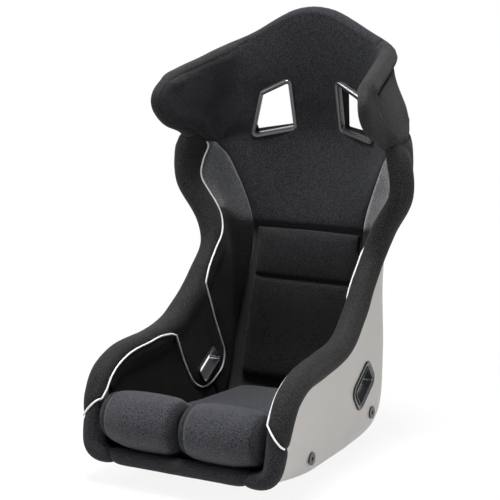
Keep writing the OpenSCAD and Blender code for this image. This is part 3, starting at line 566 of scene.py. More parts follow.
def crotch_place():
    """Frame of the crotch slot."""
    n = normal(CROTCH_AT, 0)
    tilt = turn(math.degrees(math.atan2(n[1], -n[2])), 0, 0)
    return Matrix.Translation(outer(CROTCH_AT, 0)) @ tilt


LAP_PLACE, CROTCH_PLACE = lap_place(), crotch_place()


def rounded(corners, d, r):
    """Outline drawn in by d, its corners rounded to r."""
    steps = 10
    corners = np.asarray(corners, float)
    n = len(corners)
    out = []
    for i in range(n):
        p = corners[i]
        a, b = unit(corners[i - 1] - p), unit(corners[(i + 1) % n] - p)
        half = math.acos(np.dot(a, b)) / 2
        p = p + unit(a + b) * d / math.sin(half)
        o = p + unit(a + b) * r / math.sin(half)
        s = p + a * r / math.tan(half) - o
        start = math.atan2(s[1], s[0])
        for k in range(steps + 1):
            t = start + (math.pi - 2 * half) * k / steps
            out.append(o + r * np.array((math.cos(t), math.sin(t))))
    return np.array(out)


def box_corners(length, width, shift=0.0):
    """Corners of a flat box, its long sides shifted to and fro."""
    x, y = length / 2, width / 2
    return np.array(((shift - x, -y), (shift + x, -y), (x - shift, y), (-x - shift, y)))


def lap_corners():
    """Corners of the lap slot: a skewed box, turned in its frame."""
    shift = math.tan(math.radians(LAP_SKEW)) * LAP_W / 2
    c, s = math.cos(math.radians(LAP_ANGLE)), math.sin(math.radians(LAP_ANGLE))
    box = box_corners(LAP_LEN, LAP_W, shift)
    return np.array([(x * c - y * s, x * s + y * c) for x, y in box])


LAP_CORNERS = lap_corners()
CROTCH_CORNERS = box_corners(CROTCH_LEN, CROTCH_W)


def shoulder_line(d):
    """Outline of the shoulder slot, drawn in by d."""
    return rounded(SHOULDER_CORNERS, d, max(SHOULDER_R - d, LEAST_R))


def lap_line(d):
    """Outline of the lap slot, drawn in by d."""
    return rounded(LAP_CORNERS, d, max(LAP_R - d, LEAST_R))


def crotch_line(d):
    """Outline of the crotch slot, drawn in by d."""
    return rounded(CROTCH_CORNERS, d, max(CROTCH_R - d, LEAST_R))


def within(outline, x, y):
    """Which places (x, y) lie inside a closed outline."""
    hit = np.zeros(np.broadcast(x, y).shape, bool)
    for a, b in zip(outline, np.roll(outline, -1, axis=0)):
        crosses = (a[1] > y) != (b[1] > y)
        hit ^= crosses & (x < a[0] + (y - a[1]) * (b[0] - a[0]) / (b[1] - a[1] + 1e-12))
    return hit


def cut_hole(p, keep, where, outline, reach=60):
    """Opens a grid inside an outline and draws its edge onto the outline."""
    inverse, forward = np.array(where.inverted()), np.array(where)
    local = p @ inverse[:3, :3].T + inverse[:3, 3]
    flat = local[..., :2]
    inside = within(outline, flat[..., 0], flat[..., 1]) & (np.abs(local[..., 2]) < reach)
    corners = inside[:-1, :-1], inside[1:, :-1], inside[:-1, 1:], inside[1:, 1:]
    gone = np.logical_and.reduce(corners)
    mixed = np.logical_or.reduce(corners) & ~gone
    dense = np.concatenate([a + (b - a) * np.linspace(0, 1, 6)[:-1, None]
                            for a, b in zip(outline, np.roll(outline, -1, axis=0))])
    out = p.copy()
    for i, j in zip(*np.nonzero(inside)):
        near = mixed[max(i - 1, 0):i + 1, max(j - 1, 0):j + 1]
        if near.any():
            k = np.argmin(((dense - flat[i, j]) ** 2).sum(1))
            spot = np.array((*dense[k], local[i, j, 2]))
            out[i, j] = forward[:3, :3] @ spot + forward[:3, 3]
    return out, keep & ~gone


# ---- Materials ----------------------------------------------------------------------------------
class Wire:
    """A socket that takes part in arithmetic: an expression adds its Math nodes."""

    def __init__(self, graph, socket):
        self.graph, self.socket = graph, socket

    def output(self, key):
        """Another output of the same node."""
        return Wire(self.graph, self.socket.node.outputs[key])

    def maths(self, operation, *others):
        """A Math node on this socket and others."""
        return self.graph.node("Math", {"operation": operation}, dict(enumerate((self,) + others)))

    def __add__(self, other):
        return self.maths("ADD", other)

    def __mul__(self, other):
        return self.maths("MULTIPLY", other)

    def __sub__(self, other):
        return self.maths("SUBTRACT", other)

    def __rsub__(self, other):
        return self.graph.node("Math", {"operation": "SUBTRACT"}, {0: other, 1: self})

    def __truediv__(self, other):
        return self.maths("DIVIDE", other)

    __radd__, __rmul__ = __add__, __mul__

    def sin(self):
        return self.maths("SINE")

    def fract(self):
        return self.maths("FRACT")

    def absolute(self):
        return self.maths("ABSOLUTE")

    def step(self, low, high):
        """Soft step from low to high."""
        return self.graph.node("MapRange", {"interpolation_type": "SMOOTHSTEP"},
                               {"Value": self, "From Min": low, "From Max": high})


class Graph:
    """Node tree of a material or of the world."""

    def __init__(self, owner):
        owner.use_nodes = True
        self.owner, self.tree = owner, owner.node_tree
        self.tree.nodes.clear()

    def node(self, kind, settings=None, sockets=None, out=0):
        """Adds a node of any type, its settings first and then its sockets."""
        made = self.tree.nodes.new("ShaderNode" + kind)
        for key, value in (settings or {}).items():
            setattr(made, key, value)
        for key, value in (sockets or {}).items():
            socket = made.inputs[key]
            if isinstance(value, Wire):
                self.tree.links.new(value.socket, socket)
            else:
                socket.default_value = value
        return Wire(self, made.outputs[out]) if made.outputs else None

    def laid(self):
        """Places on the cloth as it was cut, in metres."""
        return self.node("TexCoord", out=2)

    def here(self):
        """Places in the piece, in metres."""
        return self.node("TexCoord", out=3)

    def noise(self, where, scale, detail=2.0, rough=.5):
        """Noise from 0 to 1."""
        return self.node("TexNoise", None, {"Vector": where, "Scale": scale, "Detail": detail,
                                            "Roughness": rough})

    def mix(self, amount, a, b):
        """Colour between a and b."""
        return self.node("Mix", {"data_type": "RGBA"}, {0: amount, 6: a, 7: b}, out=2)

    def bump(self, height, distance, strength):
        """Normals of a relief that is distance high."""
        return self.node("Bump", None, {"Height": height, "Distance": distance,
                                        "Strength": strength})

    def surface(self, **sockets):
        """Ends the tree in a Principled surface; names use _ for spaces."""
        shader = self.node("BsdfPrincipled", None,
                           {k.replace("_", " "): v for k, v in sockets.items()})
        self.node("OutputMaterial", None, {"Surface": shader})
        return self.owner


def material(name):
    """Graph of a new material."""
    return Graph(bpy.data.materials.new(name))


def rgba(colour, gain=1.0):
    """Colour with alpha, made lighter or darker."""
    return tuple(min(c * gain, 1) for c in colour[:3]) + (1.0,)


def cloth_finish(name, colour, pitch, kind, sheen, mottle, tint=(1, 1, 1), rough=.9):
    """Fabric with its weave, mottling and nap."""
    g = material(name)
    uv, here = g.laid(), g.here()
    x = g.node("SeparateXYZ", None, {"Vector": uv})
    y = x.output(1)
    wobble = g.noise(uv, 260.0, 1.0) * .35
    x, y = x / pitch + wobble, y / pitch + wobble
    if kind == "knit":
        wale = (x * math.pi).sin().absolute()
        course = ((y + (x.fract() - .5).absolute() * .8) * math.tau).sin() * .5 + .5
        height = wale * .65 + course * .35
        fleck = g.noise(here, 900.0, 3.0, .7)
    elif kind == "mesh":
        dots = (x * math.pi).sin() * ((y + x * .5) * math.pi).sin()
        height = 1 - dots.absolute().step(.5, .85)
        fleck = g.noise(here, 700.0, 2.0, .6)
    elif kind == "pile":
        height = g.noise(here, 1500.0, 3.0, .7)
        fleck = g.noise(here, 420.0, 4.0, .65)
    else:
        height = ((x * math.pi).sin() * (y * math.pi).sin()).absolute()
        fleck = g.noise(here, 800.0, 3.0, .65)
    cloud, grain = g.noise(here, 9.0, 3.0, .6), g.noise(here, 480.0, 2.0, .65)
    tone = (grain - .5) * (mottle * 13) + (fleck - .5) * mottle + (cloud - .5) * mottle + .5
    base = g.mix(tone.step(.1, .9), rgba(colour, .4), rgba(colour, 1.9))
    # painted shade: the weave's low places, and the mesh's holes, are darkened towards a quarter of
    # the colour
    base = g.mix(height.step(.1, .8) * .45 + .55, rgba(colour, .25), base)
    bump = g.bump(height + fleck * .6 + grain * 1.2, pitch * .35, .8)
    return g.surface(Base_Color=base, Roughness=rough - fleck * .12, Normal=bump,
                     Sheen_Weight=sheen, Sheen_Roughness=.45, Sheen_Tint=rgba(tint),
                     Specular_IOR_Level=.12)


def laminate_finish(name, colour):
    """Pale gel coat with a slight orange peel and a few rubbed places."""
    g = material(name)
    here = g.here()
    cloud, peel = g.noise(here, 5.0, 4.0, .55), g.noise(here, 210.0, 2.0)
    grain = g.noise(here, 1300.0, 2.0, .7)
    rub = g.noise(here, 38.0, 6.0, .7).step(.62, .74)
    tone = (cloud - .5) * .5 + (grain - .5) * .5 + .5
    base = g.mix(tone.step(.15, .85), rgba(colour, .93), rgba(colour, 1.06))
    base = g.mix(rub * .12, base, rgba(colour, .8))
    return g.surface(Base_Color=base, Roughness=.42 + rub * .12 + (peel - .5) * .08,
                     Normal=g.bump(peel + grain * .2, .00035, .35), Coat_Weight=.25,
                     Coat_Roughness=.18, Specular_IOR_Level=.45)


def metal_finish(name, colour, metallic=.8, rough=.27):
    """Satin metal with fine grain and brighter, worn edges."""
    g = material(name)
    here = g.here()
    grain, cloud = g.noise(here, 2600.0, 2.0, .7), g.noise(here, 30.0, 3.0)
    # painted highlight: the colour is made lighter where the surface is convex (pointiness)
    edge = g.node("NewGeometry", out=7).step(.52, .62)
    base = g.mix(cloud * .3 + grain * .3, rgba(colour, .85), rgba(colour, 1.15))
    base = g.mix(edge * .5, base, rgba(colour, 1.8))
    worn = rough + (grain - .5) * .12 - edge * .08
    return g.surface(Base_Color=base, Metallic=metallic, Roughness=worn,
                     Normal=g.bump(grain, .00008, .5))


def cord_finish(name, colour):
    """Braided piping."""
    g = material(name)
    uv, here = g.laid(), g.here()
    along = g.node("SeparateXYZ", None, {"Vector": uv})
    strand = ((along * 700.0 + along.output(1) * 3.0) * math.tau).sin() * .5 + .5
    fleck = g.noise(here, 1100.0, 2.0)
    base = g.mix(strand * .6 + fleck * .4, rgba(colour, .6), rgba(colour, 1.2))
    return g.surface(Base_Color=base, Roughness=.55, Normal=g.bump(strand, .0003, .7),
                     Sheen_Weight=.2)


def felt_finish(name, colour):
    """Needled felt."""
    g = material(name)
    fibre = g.noise(g.here(), 1600.0, 5.0, .75)
    base = g.mix(fibre, rgba(colour, .6), rgba(colour, 1.5))
    return g.surface(Base_Color=base, Roughness=.95, Normal=g.bump(fibre, .0004, .8),
                     Sheen_Weight=.2)


# ---- Settings that a user would change ----------------------------------------------------------
def colour_setting(name, description, default):
    """Property for a colour."""
    return bpy.props.FloatVectorProperty(name=name, description=description, subtype="COLOR",
                                         size=3, min=0, max=1, default=default)


def length_setting(name, description, default):
    """Property for a length, in metres."""
    return bpy.props.FloatProperty(name=name, description=description, unit="LENGTH",
                                   default=default, min=0, precision=5)


class SeatSizes(bpy.types.PropertyGroup):
    """Sizes of what is sewn and fitted."""
    seam_depth: length_setting("Seam depth", "How far the covers dip into a seam", .0032)
    seam_width: length_setting("Seam width", "Half-width of that dip", .0055)
    ripple: length_setting("Ripple", "Height of the puckers beside a seam", .0005)
    unevenness: length_setting("Unevenness", "Height of the foam's slow waves", .0009)
    piping: length_setting("Piping", "Diameter of the piping cord", .0038)
    knit_pitch: length_setting("Knit pitch", "Width of one wale of the seat fabric", .0016)
    mesh_pitch: length_setting("Mesh pitch", "Spacing of the holes in the mesh fabric", .0026)
    cushion_voxel: length_setting("Cushion grid", "Grid of the cushions before they swell", .005)
    cushion_swell: length_setting("Cushion swell", "Most that a cushion swells", .005)
    channel: length_setting("Channel", "Depth of the back cushion's sewn channel", .008)
    bezel_face: length_setting("Trim face", "Width of the shoulder slot trim's face", .009)


class SeatColours(bpy.types.PropertyGroup):
    """Colours of the finishes."""
    shell: colour_setting("Shell", "Gel coat of the shell", (.345, .326, .308))
    velour: colour_setting("Velour", "Bolsters, wings and outside covers", (.0165, .0163, .0162))
    knit: colour_setting("Knit", "Head, centre back and cushions", (.0175, .0178, .0205))
    mesh: colour_setting("Mesh", "Shoulder side panels", (.046, .047, .05))
    black: colour_setting("Black cloth", "Inner sides and back cushion", (.008, .008, .0088))
    felt: colour_setting("Felt", "Liners and hook tape", (.012, .012, .012))
    cord: colour_setting("Piping", "Piping cord", (.74, .75, .76))
    satin: colour_setting("Trim", "Slot trims", (.12, .122, .126))
    steel: colour_setting("Inserts", "Mount inserts", (.05, .05, .052))


@cache
def finishes():
    """The materials by name, made once."""
    c, z = bpy.context.scene.seat_colours, bpy.context.scene.seat_sizes
    # painted light: the cushions' knit and the back cushion's cloth are lighter copies (1.7 and 1.5
    # times) of the knit and of the black cloth, for the light that falls on them
    cushion, back = [k * 1.7 for k in c.knit], [k * 1.5 for k in c.black]
    return {
        "velour": cloth_finish("sewn velour", c.velour, .0011, "pile", sheen=.045, mottle=.3,
                               tint=(1, .98, .96), rough=.85),
        "knit": cloth_finish("brushed knit", c.knit, z.knit_pitch, "knit", sheen=.05, mottle=.3,
                             tint=(.93, .95, 1)),
        "knit_painted_lighter": cloth_finish("cushion knit", cushion, z.knit_pitch, "knit", sheen=.16,
                                   mottle=.3, tint=(.97, .98, 1)),
        "mesh_cloth": cloth_finish("spacer mesh", c.mesh, z.mesh_pitch, "mesh", sheen=.6,
                                   mottle=.2),
        "dark_cloth": cloth_finish("black fabric", c.black, .0014, "plain", sheen=.04,
                                   mottle=.25),
        # painted light: the back cushion's cloth is the black cloth made 1.5 times lighter, for the
        # light it catches
        "black_cloth_painted_lighter": cloth_finish("back cushion knit", back, z.knit_pitch, "knit", sheen=.06,
                                   mottle=.3),
        "laminate": laminate_finish("gel coat", c.shell),
        "satin": metal_finish("satin trim", c.satin),
        "steel": metal_finish("plated steel", c.steel, metallic=1.0, rough=.3),
        "silver_cord": cord_finish("braided cord", c.cord),
        "felt": felt_finish("needled felt", c.felt)}


def dress(obj, *names):
    """Gives a piece its finishes; faces beyond the first are set in its mesh."""
    index = np.zeros(len(obj.data.polygons), int)
    obj.data.polygons.foreach_get("material_index", index)
    obj.data.materials.clear()
    for name in names:
        obj.data.materials.append(finishes()[name])
    obj.data.polygons.foreach_set("material_index", np.minimum(index, len(names) - 1))
    return obj


def fit(obj, node, body="seat", nodes=()):
    """The piece rides on its body and stands for its node, or for more."""
    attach(obj, body)
    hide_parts(node, *nodes)
    return obj


# ---- The covers, worked out once ----------------------------------------------------------------
class Covers:
    """Softened grids of every cover on the right half of the seat.

    low and high are the roll's skin inside and outside its seam, with a row for each place in u.
    inner is the face of the pads, with the rows of ROWS, and out the cloth on the outside.
    """

    def __init__(self):
        z = bpy.context.scene.seat_sizes
        self.dip = dict(depth=z.seam_depth * 1000, width=z.seam_width * 1000,
                        ripple=z.ripple * 1000, loose=z.unevenness * 1000)
        self.inner, top_u = inner_grid()
        front = np.linspace(-1, START, 60)[:-1]
        self.u = np.r_[front, ROWS, top_u[::-1][1:]]
        # the roll's rows beside the pads' first and after their last; the wings' first row of pads
        self.row0, self.end = len(front), len(front) + len(ROWS)
        self.wings = self.row(MESH_LOW)
        seam = seam_line(self.u)
        crest = np.maximum(seam, 0)
        self.low = strip(self.u, np.zeros_like(seam), crest, IN_COLS)
        self.high = strip(self.u, crest, np.full_like(seam, ROLL_END), OUT_COLS)
        self.share_out(seam)
        self.outside()
        self.relax_wings()
        self.draw_wings()
        self.relax_crown()
        axis = rim_at(self.u)[0][:, None]
        self.low_n = grid_normals(self.low, self.low - axis)
        self.high_n = grid_normals(self.high, self.high - axis)
        v = ROWS[:, None]
        self.inner_n = grid_normals(self.inner, -normal(v, share(v, COLS[None])))
        self.sew()

    def share_out(self, seam):
        """Spreads the columns on each side of the seam, which leaves the roll at the neck."""
        s = np.linspace(0, ROLL_END, 111)
        for i in range(len(ROWS)):
            k = self.row0 + i
            if ROWS[i] < MESH_LOW:
                continue
            path = np.r_[self.inner[i, MID_COLS:], roll(ROWS[i:i + 1], s[None])[0][1:]]
            d = running(path)
            d -= d[SIDE_COLS]
            at = np.interp(seam[k], s, d[SIDE_COLS:]) if seam[k] > 0 else seam[k] * PAD_STEP
            split = min(0, at - LEAST_BAND)
            old = d[:SIDE_COLS + 1]
            spots = (old[0] + (old - old[0]) * (split - old[0]) / -old[0],
                     np.linspace(split, at, IN_COLS + 1), np.linspace(at, d[-1], OUT_COLS + 1))
            self.inner[i, MID_COLS:], self.low[k], self.high[k] = (
                sample(path, d, x) for x in spots)

    def outside(self):
        """Grid of the covers on the outside, from the back to the roll."""
        v, c = np.meshgrid(ROWS[self.wings:], OUTER_COLS, indexing="ij")
        v = to_crown(v, share(v, c))
        q = share(v, c)
        first = OUTER_COLS[0]
        swell = COVER_T * smooth((c - first) / .12) ** .5
        swell = swell + WING_SWELL * window(v, 8.3, 1.2, LAST, .5) * smooth((c - first) / .5)
        p = outer(v, q) + normal(v, q) * (PAD_GAP + swell)[..., None]
        edge = self.high[self.row0 + self.wings:self.end, -1]
        self.out = p + smooth((c - 1.5) / .5)[..., None] * (edge - p[:, -1])[:, None]
        self.out_dir = normal(v, q)

    def relax_wings(self):
        """Pulls the cloth straight over the hollows beside the wings' rolls."""
        a, b = self.row0 + self.wings, self.end
        cuts = np.cumsum([SIDE_COLS + 1, IN_COLS, OUT_COLS])
        block = np.concatenate([self.inner[self.wings:, MID_COLS:], self.low[a:b, 1:],
                                self.high[a:b, 1:], self.out[:, -2::-1]], 1)
        v = ROWS[self.wings:, None]
        col = np.arange(block.shape[1])[None]
        seam = cuts[1] - 1
        # at work away from the seam and from the block's ends, between the mesh and the crown
        off = np.where(col < seam, smooth((seam + 1 - col) / 6), smooth((col - seam - 7) / 6))
        ends = window(col, 0, 8, block.shape[1] - 1, 8)
        wing = window(v, MESH_HIGH, .7, LAST, .8)
        block = relaxed(block, off * ends * wing, WING_ROUNDS, 1)
        neck = np.exp(-((v - 10.4) / .42) ** 2) * ends
        for _ in range(3):
            block = relaxed(relaxed(block, neck, 8, 0), neck * .5, 4, 1)
        self.inner[self.wings:, MID_COLS:] = block[:, :cuts[0]]
        self.low[a:b] = block[:, cuts[0] - 1:cuts[1]]
        self.high[a:b] = block[:, cuts[1] - 1:cuts[2]]
        drawn = block[:, cuts[2] - 1:][:, ::-1]
        sunk = np.minimum(((drawn - self.out) * self.out_dir).sum(-1), 0)
        self.out = drawn - self.out_dir * sunk[..., None]

    def draw_wings(self):
        """Draws the wings' outside tight from the roll's crest to the rear, never inwards."""
        a, b = self.row0 + self.wings, self.end
        v = ROWS[self.wings:, None]
        crest = OUT_COLS - 10
        roll_part = self.high[a:b, -2:crest:-1]
        axis = rim_at(self.u[a:b])[0][:, None]
        base = np.concatenate([self.out, roll_part], 1)
        away = np.concatenate([self.out_dir, unit(roll_part - axis)], 1)
        ends = window(np.arange(base.shape[1])[None], 0, 8, base.shape[1] - 1, 3)
        across = (window(v, 10.3, .6, 14.05, .5) * ends)[..., None]
        along = (window(v, 9.4, .8, 14.05, .4) * ends * .6)[..., None]
        p = base.copy()
        for _ in range(DRAWN_ROUNDS):
            p[:, 1:-1] += across[:, 1:-1] * ((p[:, 2:] + p[:, :-2]) * .5 - p[:, 1:-1])
            p[1:-1] += along[1:-1] * ((p[2:] + p[:-2]) * .5 - p[1:-1])
            p -= away * np.minimum(((p - base) * away).sum(-1), 0)[..., None]
        width = self.out.shape[1]
        self.out = p[:, :width]
        self.high[a:b, -2:crest:-1] = p[:, width:]
        self.high[a:b, -1] = self.out[:, -1]

    def relax_crown(self):
        """Pulls the head's cloth straight up to the crown's seam."""
        top, last = self.row(BEND), self.end - 1
        cap = self.low[last:][::-1]
        block = np.concatenate([self.inner[top:], cap[:, 1:].transpose(1, 0, 2)], 0)
        k = np.arange(len(block))[:, None]
        weight = window(k, 0, 10, len(block) - 1, 5) * smooth((1.7 - COLS[None]) / .5)
        block = relaxed(block, weight, WING_ROUNDS, 0)
        self.inner[top:] = block[:-IN_COLS]
        self.low[last:] = block[-IN_COLS - 1:].transpose(1, 0, 2)[::-1]

    def row(self, v):
        """Row of the pads at place v."""
        return int(np.argmin(np.abs(ROWS - v)))

    def at(self, u):
        """Row of the roll at place u."""
        return int(np.argmin(np.abs(self.u - u)))

    def hip_points(self):
        """The piping's loop round the lap slot, as places (along, across)."""
        knots = np.array(HIP_LOOP)
        return catmull(knots, np.linspace(0, len(knots) - 1, 90))

    def pad_point(self, v, q):
        """Point of the inner covers at a place (along, across)."""
        a, e = (k[0] for k in edges(np.array([v])))
        c = q / a if q <= a else 1 + (q - a) / (e - a)
        i = np.interp(v, ROWS, np.arange(len(ROWS)))
        j = np.interp(c, COLS, np.arange(len(COLS)))
        i0, j0 = min(int(i), len(ROWS) - 2), min(int(j), len(COLS) - 2)
        s, t = i - i0, j - j0
        g = self.inner
        return ((1 - s) * (1 - t) * g[i0, j0] + s * (1 - t) * g[i0 + 1, j0]
                + (1 - s) * t * g[i0, j0 + 1] + s * t * g[i0 + 1, j0 + 1])

    def sew(self):
        """Lays the seams and the piping out and softens the grids beside them."""
        g, low, high, mid = self.inner, self.low, self.high, MID_COLS
        start, panel, mesh, head = (self.row(v) for v in (1, PANEL_SEAM, MESH_LOW, MESH_HIGH))
        lip, loop_front, loop_rear = (self.at(u) for u in (0, LOOP_FRONT, LOOP_REAR))
        loop = np.array([self.pad_point(v, q) for v, q in self.hip_points()])
        self.piping_path = np.concatenate([
            low[self.at(PIPING_TOP):loop_rear:-1, -1], loop, low[loop_front:lip:-1, -1],
            high[lip, :PIPING_TAIL]])
        seams = Seams()
        seams.add(g[mesh:head + 1, mid], g[mesh], g[head, mid:], g[panel, mid:mid + PANEL_CELLS],
                  g[start:mesh, mid], low[:loop_front, -1],
                  low[loop_rear:self.at(CROWN_SEAM) + 1, -1], loop, low[loop_front],
                  low[loop_rear], low[lip], high[lip], low[self.at(CORNER)],
                  high[self.at(CORNER)], high[self.at(NECK)], low[mesh + self.row0],
                  low[head + self.row0])
        tree = seams.tree()
        self.low = soften(low, self.low_n, tree, **self.dip)
        self.high = soften(high, self.high_n, tree, **self.dip)
        self.inner = soften(g, self.inner_n, tree, **self.dip)

    def in_loop(self):
        """Cells of the pads inside the piping's loop, and rows of the roll between its ends."""
        path = self.hip_points()
        a, e = edges(path[:, 0])
        ring = np.stack([path[:, 0], 1 + (path[:, 1] - a) / (e - a)], 1)
        ring = np.concatenate([[(LOOP_REAR, 3.2), (LOOP_REAR, 2.2)], ring,
                               [(LOOP_FRONT, 2.2), (LOOP_FRONT, 3.2)]])
        u = middles(self.u)
        return (within(ring, middles(ROWS)[:, None], middles(COLS)[None]),
                ((u > LOOP_FRONT) & (u < LOOP_REAR))[:, None])


@cache
def covers():
    """The covers' grids, worked out once."""
    return Covers()


def cover_piece(name, side, parts, finish, *nodes, tuck=7):
    """Builds one cover of one side from (grid, normals, cells kept) parts of the right half."""
    cloth, flip = Cloth(), (side, 1, 1)
    for p, n, keep in parts:
        cloth.add(p * flip, n * flip, keep)
    obj = dress(cloth.build(name, tuck), finish)
    return fit(obj, nodes[0], nodes=nodes[1:])


def make_bolsters():
    """Rolls on the thigh crest, waist and shoulders, with the patch round the lap slot."""
    k = covers()
    hip, between_ends = k.in_loop()
    grid, keep = cut_hole(k.inner, hip, LAP_PLACE, lap_line(-1.5))
    part = np.s_[k.at(0):k.at(NECK) + 1]
    for name, side in SIDES:
        cover_piece(f"bolster_cover_{name}", side,
                    [(k.high[part], k.high_n[part], True), (grid, k.inner_n, keep),
                     (k.low, k.low_n, between_ends)],
                    "velour", f"side_bolster_{name}", f"hip_panel_{name}")


def make_inner_sides():
    """Black inner sides and the mesh panels."""
    k = covers()
    v, u = middles(ROWS)[:, None], middles(k.u)[:, None]
    pads = ~k.in_loop()[0] & (middles(COLS) > 1)
    panels = (
        ("thigh_side_cover", "thigh_panel", "dark_cloth", (START, PANEL_SEAM), (START, LOOP_FRONT)),
        ("waist_side_cover", "waist_panel", "dark_cloth", (PANEL_SEAM, MESH_LOW),
         (LOOP_REAR, MESH_LOW)),
        ("shoulder_mesh", "mesh_panel", "mesh_cloth", (MESH_LOW, MESH_HIGH), (MESH_LOW, MESH_HIGH)))
    for name, side in SIDES:
        for piece, node, finish, (low, high), (first, last) in panels:
            cover_piece(f"{piece}_{name}", side,
                        [(k.inner, k.inner_n, pads & (v > low) & (v < high)),
                         (k.low, k.low_n, (u > first) & (u < last))],
                        finish, f"{node}_{name}")


def make_front():
    """Padded front lip and its corners."""
    k = covers()
    lip, corner = np.s_[:k.at(CORNER) + 1], np.s_[k.at(CORNER):k.at(0) + 1]
    for name, side in SIDES:
        cover_piece(f"front_corner_cover_{name}", side,
                    [(k.low[corner], k.low_n[corner], True),
                     (k.high[corner], k.high_n[corner], True)],
                    "knit", f"front_corner_{name}")
    cloth = Cloth()
    for flip in HALVES:
        cloth.add(k.low[lip] * flip, k.low_n[lip] * flip)
        cloth.add(k.high[lip] * flip, k.high_n[lip] * flip)
    obj = dress(cloth.build("front_lip_cover"), "knit")
    fit(obj, "front_lip_pad")


def make_head():
    """Head and centre back cover, the crown and the wing bands."""
    k = covers()
    v, u = middles(ROWS)[:, None], middles(k.u)[:, None]
    keep = (v > MESH_LOW) & ((v > MESH_HIGH) | (middles(COLS) < 1)[None])
    grid, keep = cut_hole(k.inner, keep, SHOULDER_PLACE, shoulder_line(5))
    top = k.at(CROWN_SEAM)
    wing = np.s_[k.at(NECK):top + 1]
    uv = lengths(grid)
    cloth = Cloth()
    for flip in HALVES:
        # the cloth's grain runs on over the middle
        cloth.add(grid * flip, k.inner_n * flip, keep, uv * flip[:2])
        cloth.add(k.low * flip, k.low_n * flip, u > MESH_HIGH)
        cloth.add(k.high[top:] * flip, k.high_n[top:] * flip)
    obj = dress(cloth.build("head_and_crown_cover", weld=1.2), "knit")
    fit(obj, "head_pad", nodes=["head_top_roll"])
    for name, side in SIDES:
        cover_piece(f"wing_band_{name}", side, [(k.high[wing], k.high_n[wing], True)],
                    "velour", f"wing_edge_{name}")


def make_outside():
    """Covers on the outside of the shoulders and wings."""
    k = covers()
    n = grid_normals(k.out, k.out_dir)
    seams = Seams()
    seams.add(k.out[k.row(NECK) - k.wings], k.out[0])
    p = soften(k.out, n, seams.tree(), **k.dip)
    v = middles(ROWS[k.wings:])[:, None]
    for name, side in SIDES:
        for piece, node, keep in (("shoulder_outside", "shoulder_cover", v < NECK),
                                  ("wing_outside", "wing_cover", v > NECK)):
            cover_piece(f"{piece}_{name}", side, [(p, n, keep)], "velour", f"{node}_{name}",
                        tuck=9)


def tube(name, path, radius):
    """Round cord along a path in millimetres."""
    sides, pitch = 12, 2.0
    run = running(path)
    good = np.r_[True, np.diff(run) > 1e-6]
    path, run = path[good], run[good]
    k = np.linspace(0, run[-1], max(int(run[-1] / pitch), 3))
    path = sample(path, run, k)
    for _ in range(3):
        path[1:-1] = path[1:-1] * .5 + (path[2:] + path[:-2]) * .25
    t = unit(np.gradient(path, axis=0))
    a = unit(np.cross(t, (.31, .17, .93)))
    b = np.cross(t, a)
    w = np.linspace(0, math.tau, sides + 1)
    ring = np.cos(w)[None, :, None] * a[:, None] + np.sin(w)[None, :, None] * b[:, None]
    p = path[:, None] + radius * ring
    uv = np.stack(np.meshgrid(k * .001, w / math.tau, indexing="ij"), -1)
    return Cloth().add(p, unit(p - path[:, None]), True, uv).build(name, tuck=0, weld=.01)


def make_piping():
    """Silver cord in the seam of the bolsters and round the lap slots."""
    k = covers()
    radius = bpy.context.scene.seat_sizes.piping * 500
    rim = rim_at(k.u)[0]
    tree = finder(rim)
    lifted = np.array([p + unit(p - rim[tree.find(p)[1]]) * (radius - PIPING_SINK)
                       for p in k.piping_path])
    for name, side in SIDES:
        obj = dress(tube(f"piping_cord_{name}", lifted * (side, 1, 1), radius), "silver_cord")
        fit(obj, f"piping_{name}")


# ---- Shell --------------------------------------------------------------------------------------
def make_shell():
    """Laminate shell with its slots and insert holes."""
    rows, cols = between([0, 1, 4, 5, 8, 11, 13, LAST], 8.0), np.linspace(0, 1, 56)
    v, q = np.meshgrid(rows, cols, indexing="ij")
    n = normal(v, q)
    keep = np.ones((len(rows) - 1, len(cols) - 1), bool)
    faces = []
    for depth in (0.0, SHELL_T):
        p, kept = cut_hole(outer(v, q) - n * depth, keep, SHOULDER_PLACE, shoulder_line(4.5), 80)
        p, kept = cut_hole(p, kept, LAP_PLACE, lap_line(-2.4), 30)
        p, kept = cut_hole(p, kept, CROTCH_PLACE, crotch_line(-2.6), 20)
        faces.append((p, kept))
    (outside, kept_outside), (inside, kept_inside) = faces
    keep = kept_outside & kept_inside
    walls = ((np.s_[0], outer(0, cols) - outer(.2, cols)),
             (np.s_[-1], outer(LAST, cols) - outer(LAST - .2, cols)),
             (np.s_[:, -1], outer(rows, 1) - outer(rows, .98)))
    cloth = Cloth()
    for flip in HALVES:
        cloth.add(outside * flip, n * flip, keep)
        cloth.add(inside * flip, -n * flip, keep)
        for line, away in walls:
            cloth.add(np.stack([outside[line], inside[line]]) * flip,
                      np.stack([away, away]) * flip)
    obj = dress(cloth.build("seat_shell", tuck=0, weld=.3), "laminate")
    fit(obj, "shell")


def make_liners():
    """Felt under the loose cushions, cut round the crotch slot."""
    r, c = np.meshgrid(ROWS, np.linspace(0, 1, 24), indexing="ij")
    q = share(r, c)
    n = -normal(r, q)
    p = outer(r, q) + n * (SHELL_T + PAD_GAP + LINER_T)
    full = np.ones((len(ROWS) - 1, c.shape[1] - 1), bool)
    p, keep = cut_hole(p, full, CROTCH_PLACE, crotch_line(-1.5), 30)
    v = middles(ROWS)[:, None]
    for name, node, low, high in (("pan_felt", "pan_liner", START, 5),
                                  ("back_felt", "back_liner", 5, MESH_LOW)):
        cloth = Cloth()
        for flip in HALVES:
            cloth.add(p * flip, n * flip, keep & (v > low) & (v < high))
        fit(dress(cloth.build(name, tuck=2.5), "felt"), node)


# ---- Cushions, in millimetres up to their solids and in metres after them -----------------------
PRESSURE, SWELL_STEPS = 4.0, 20
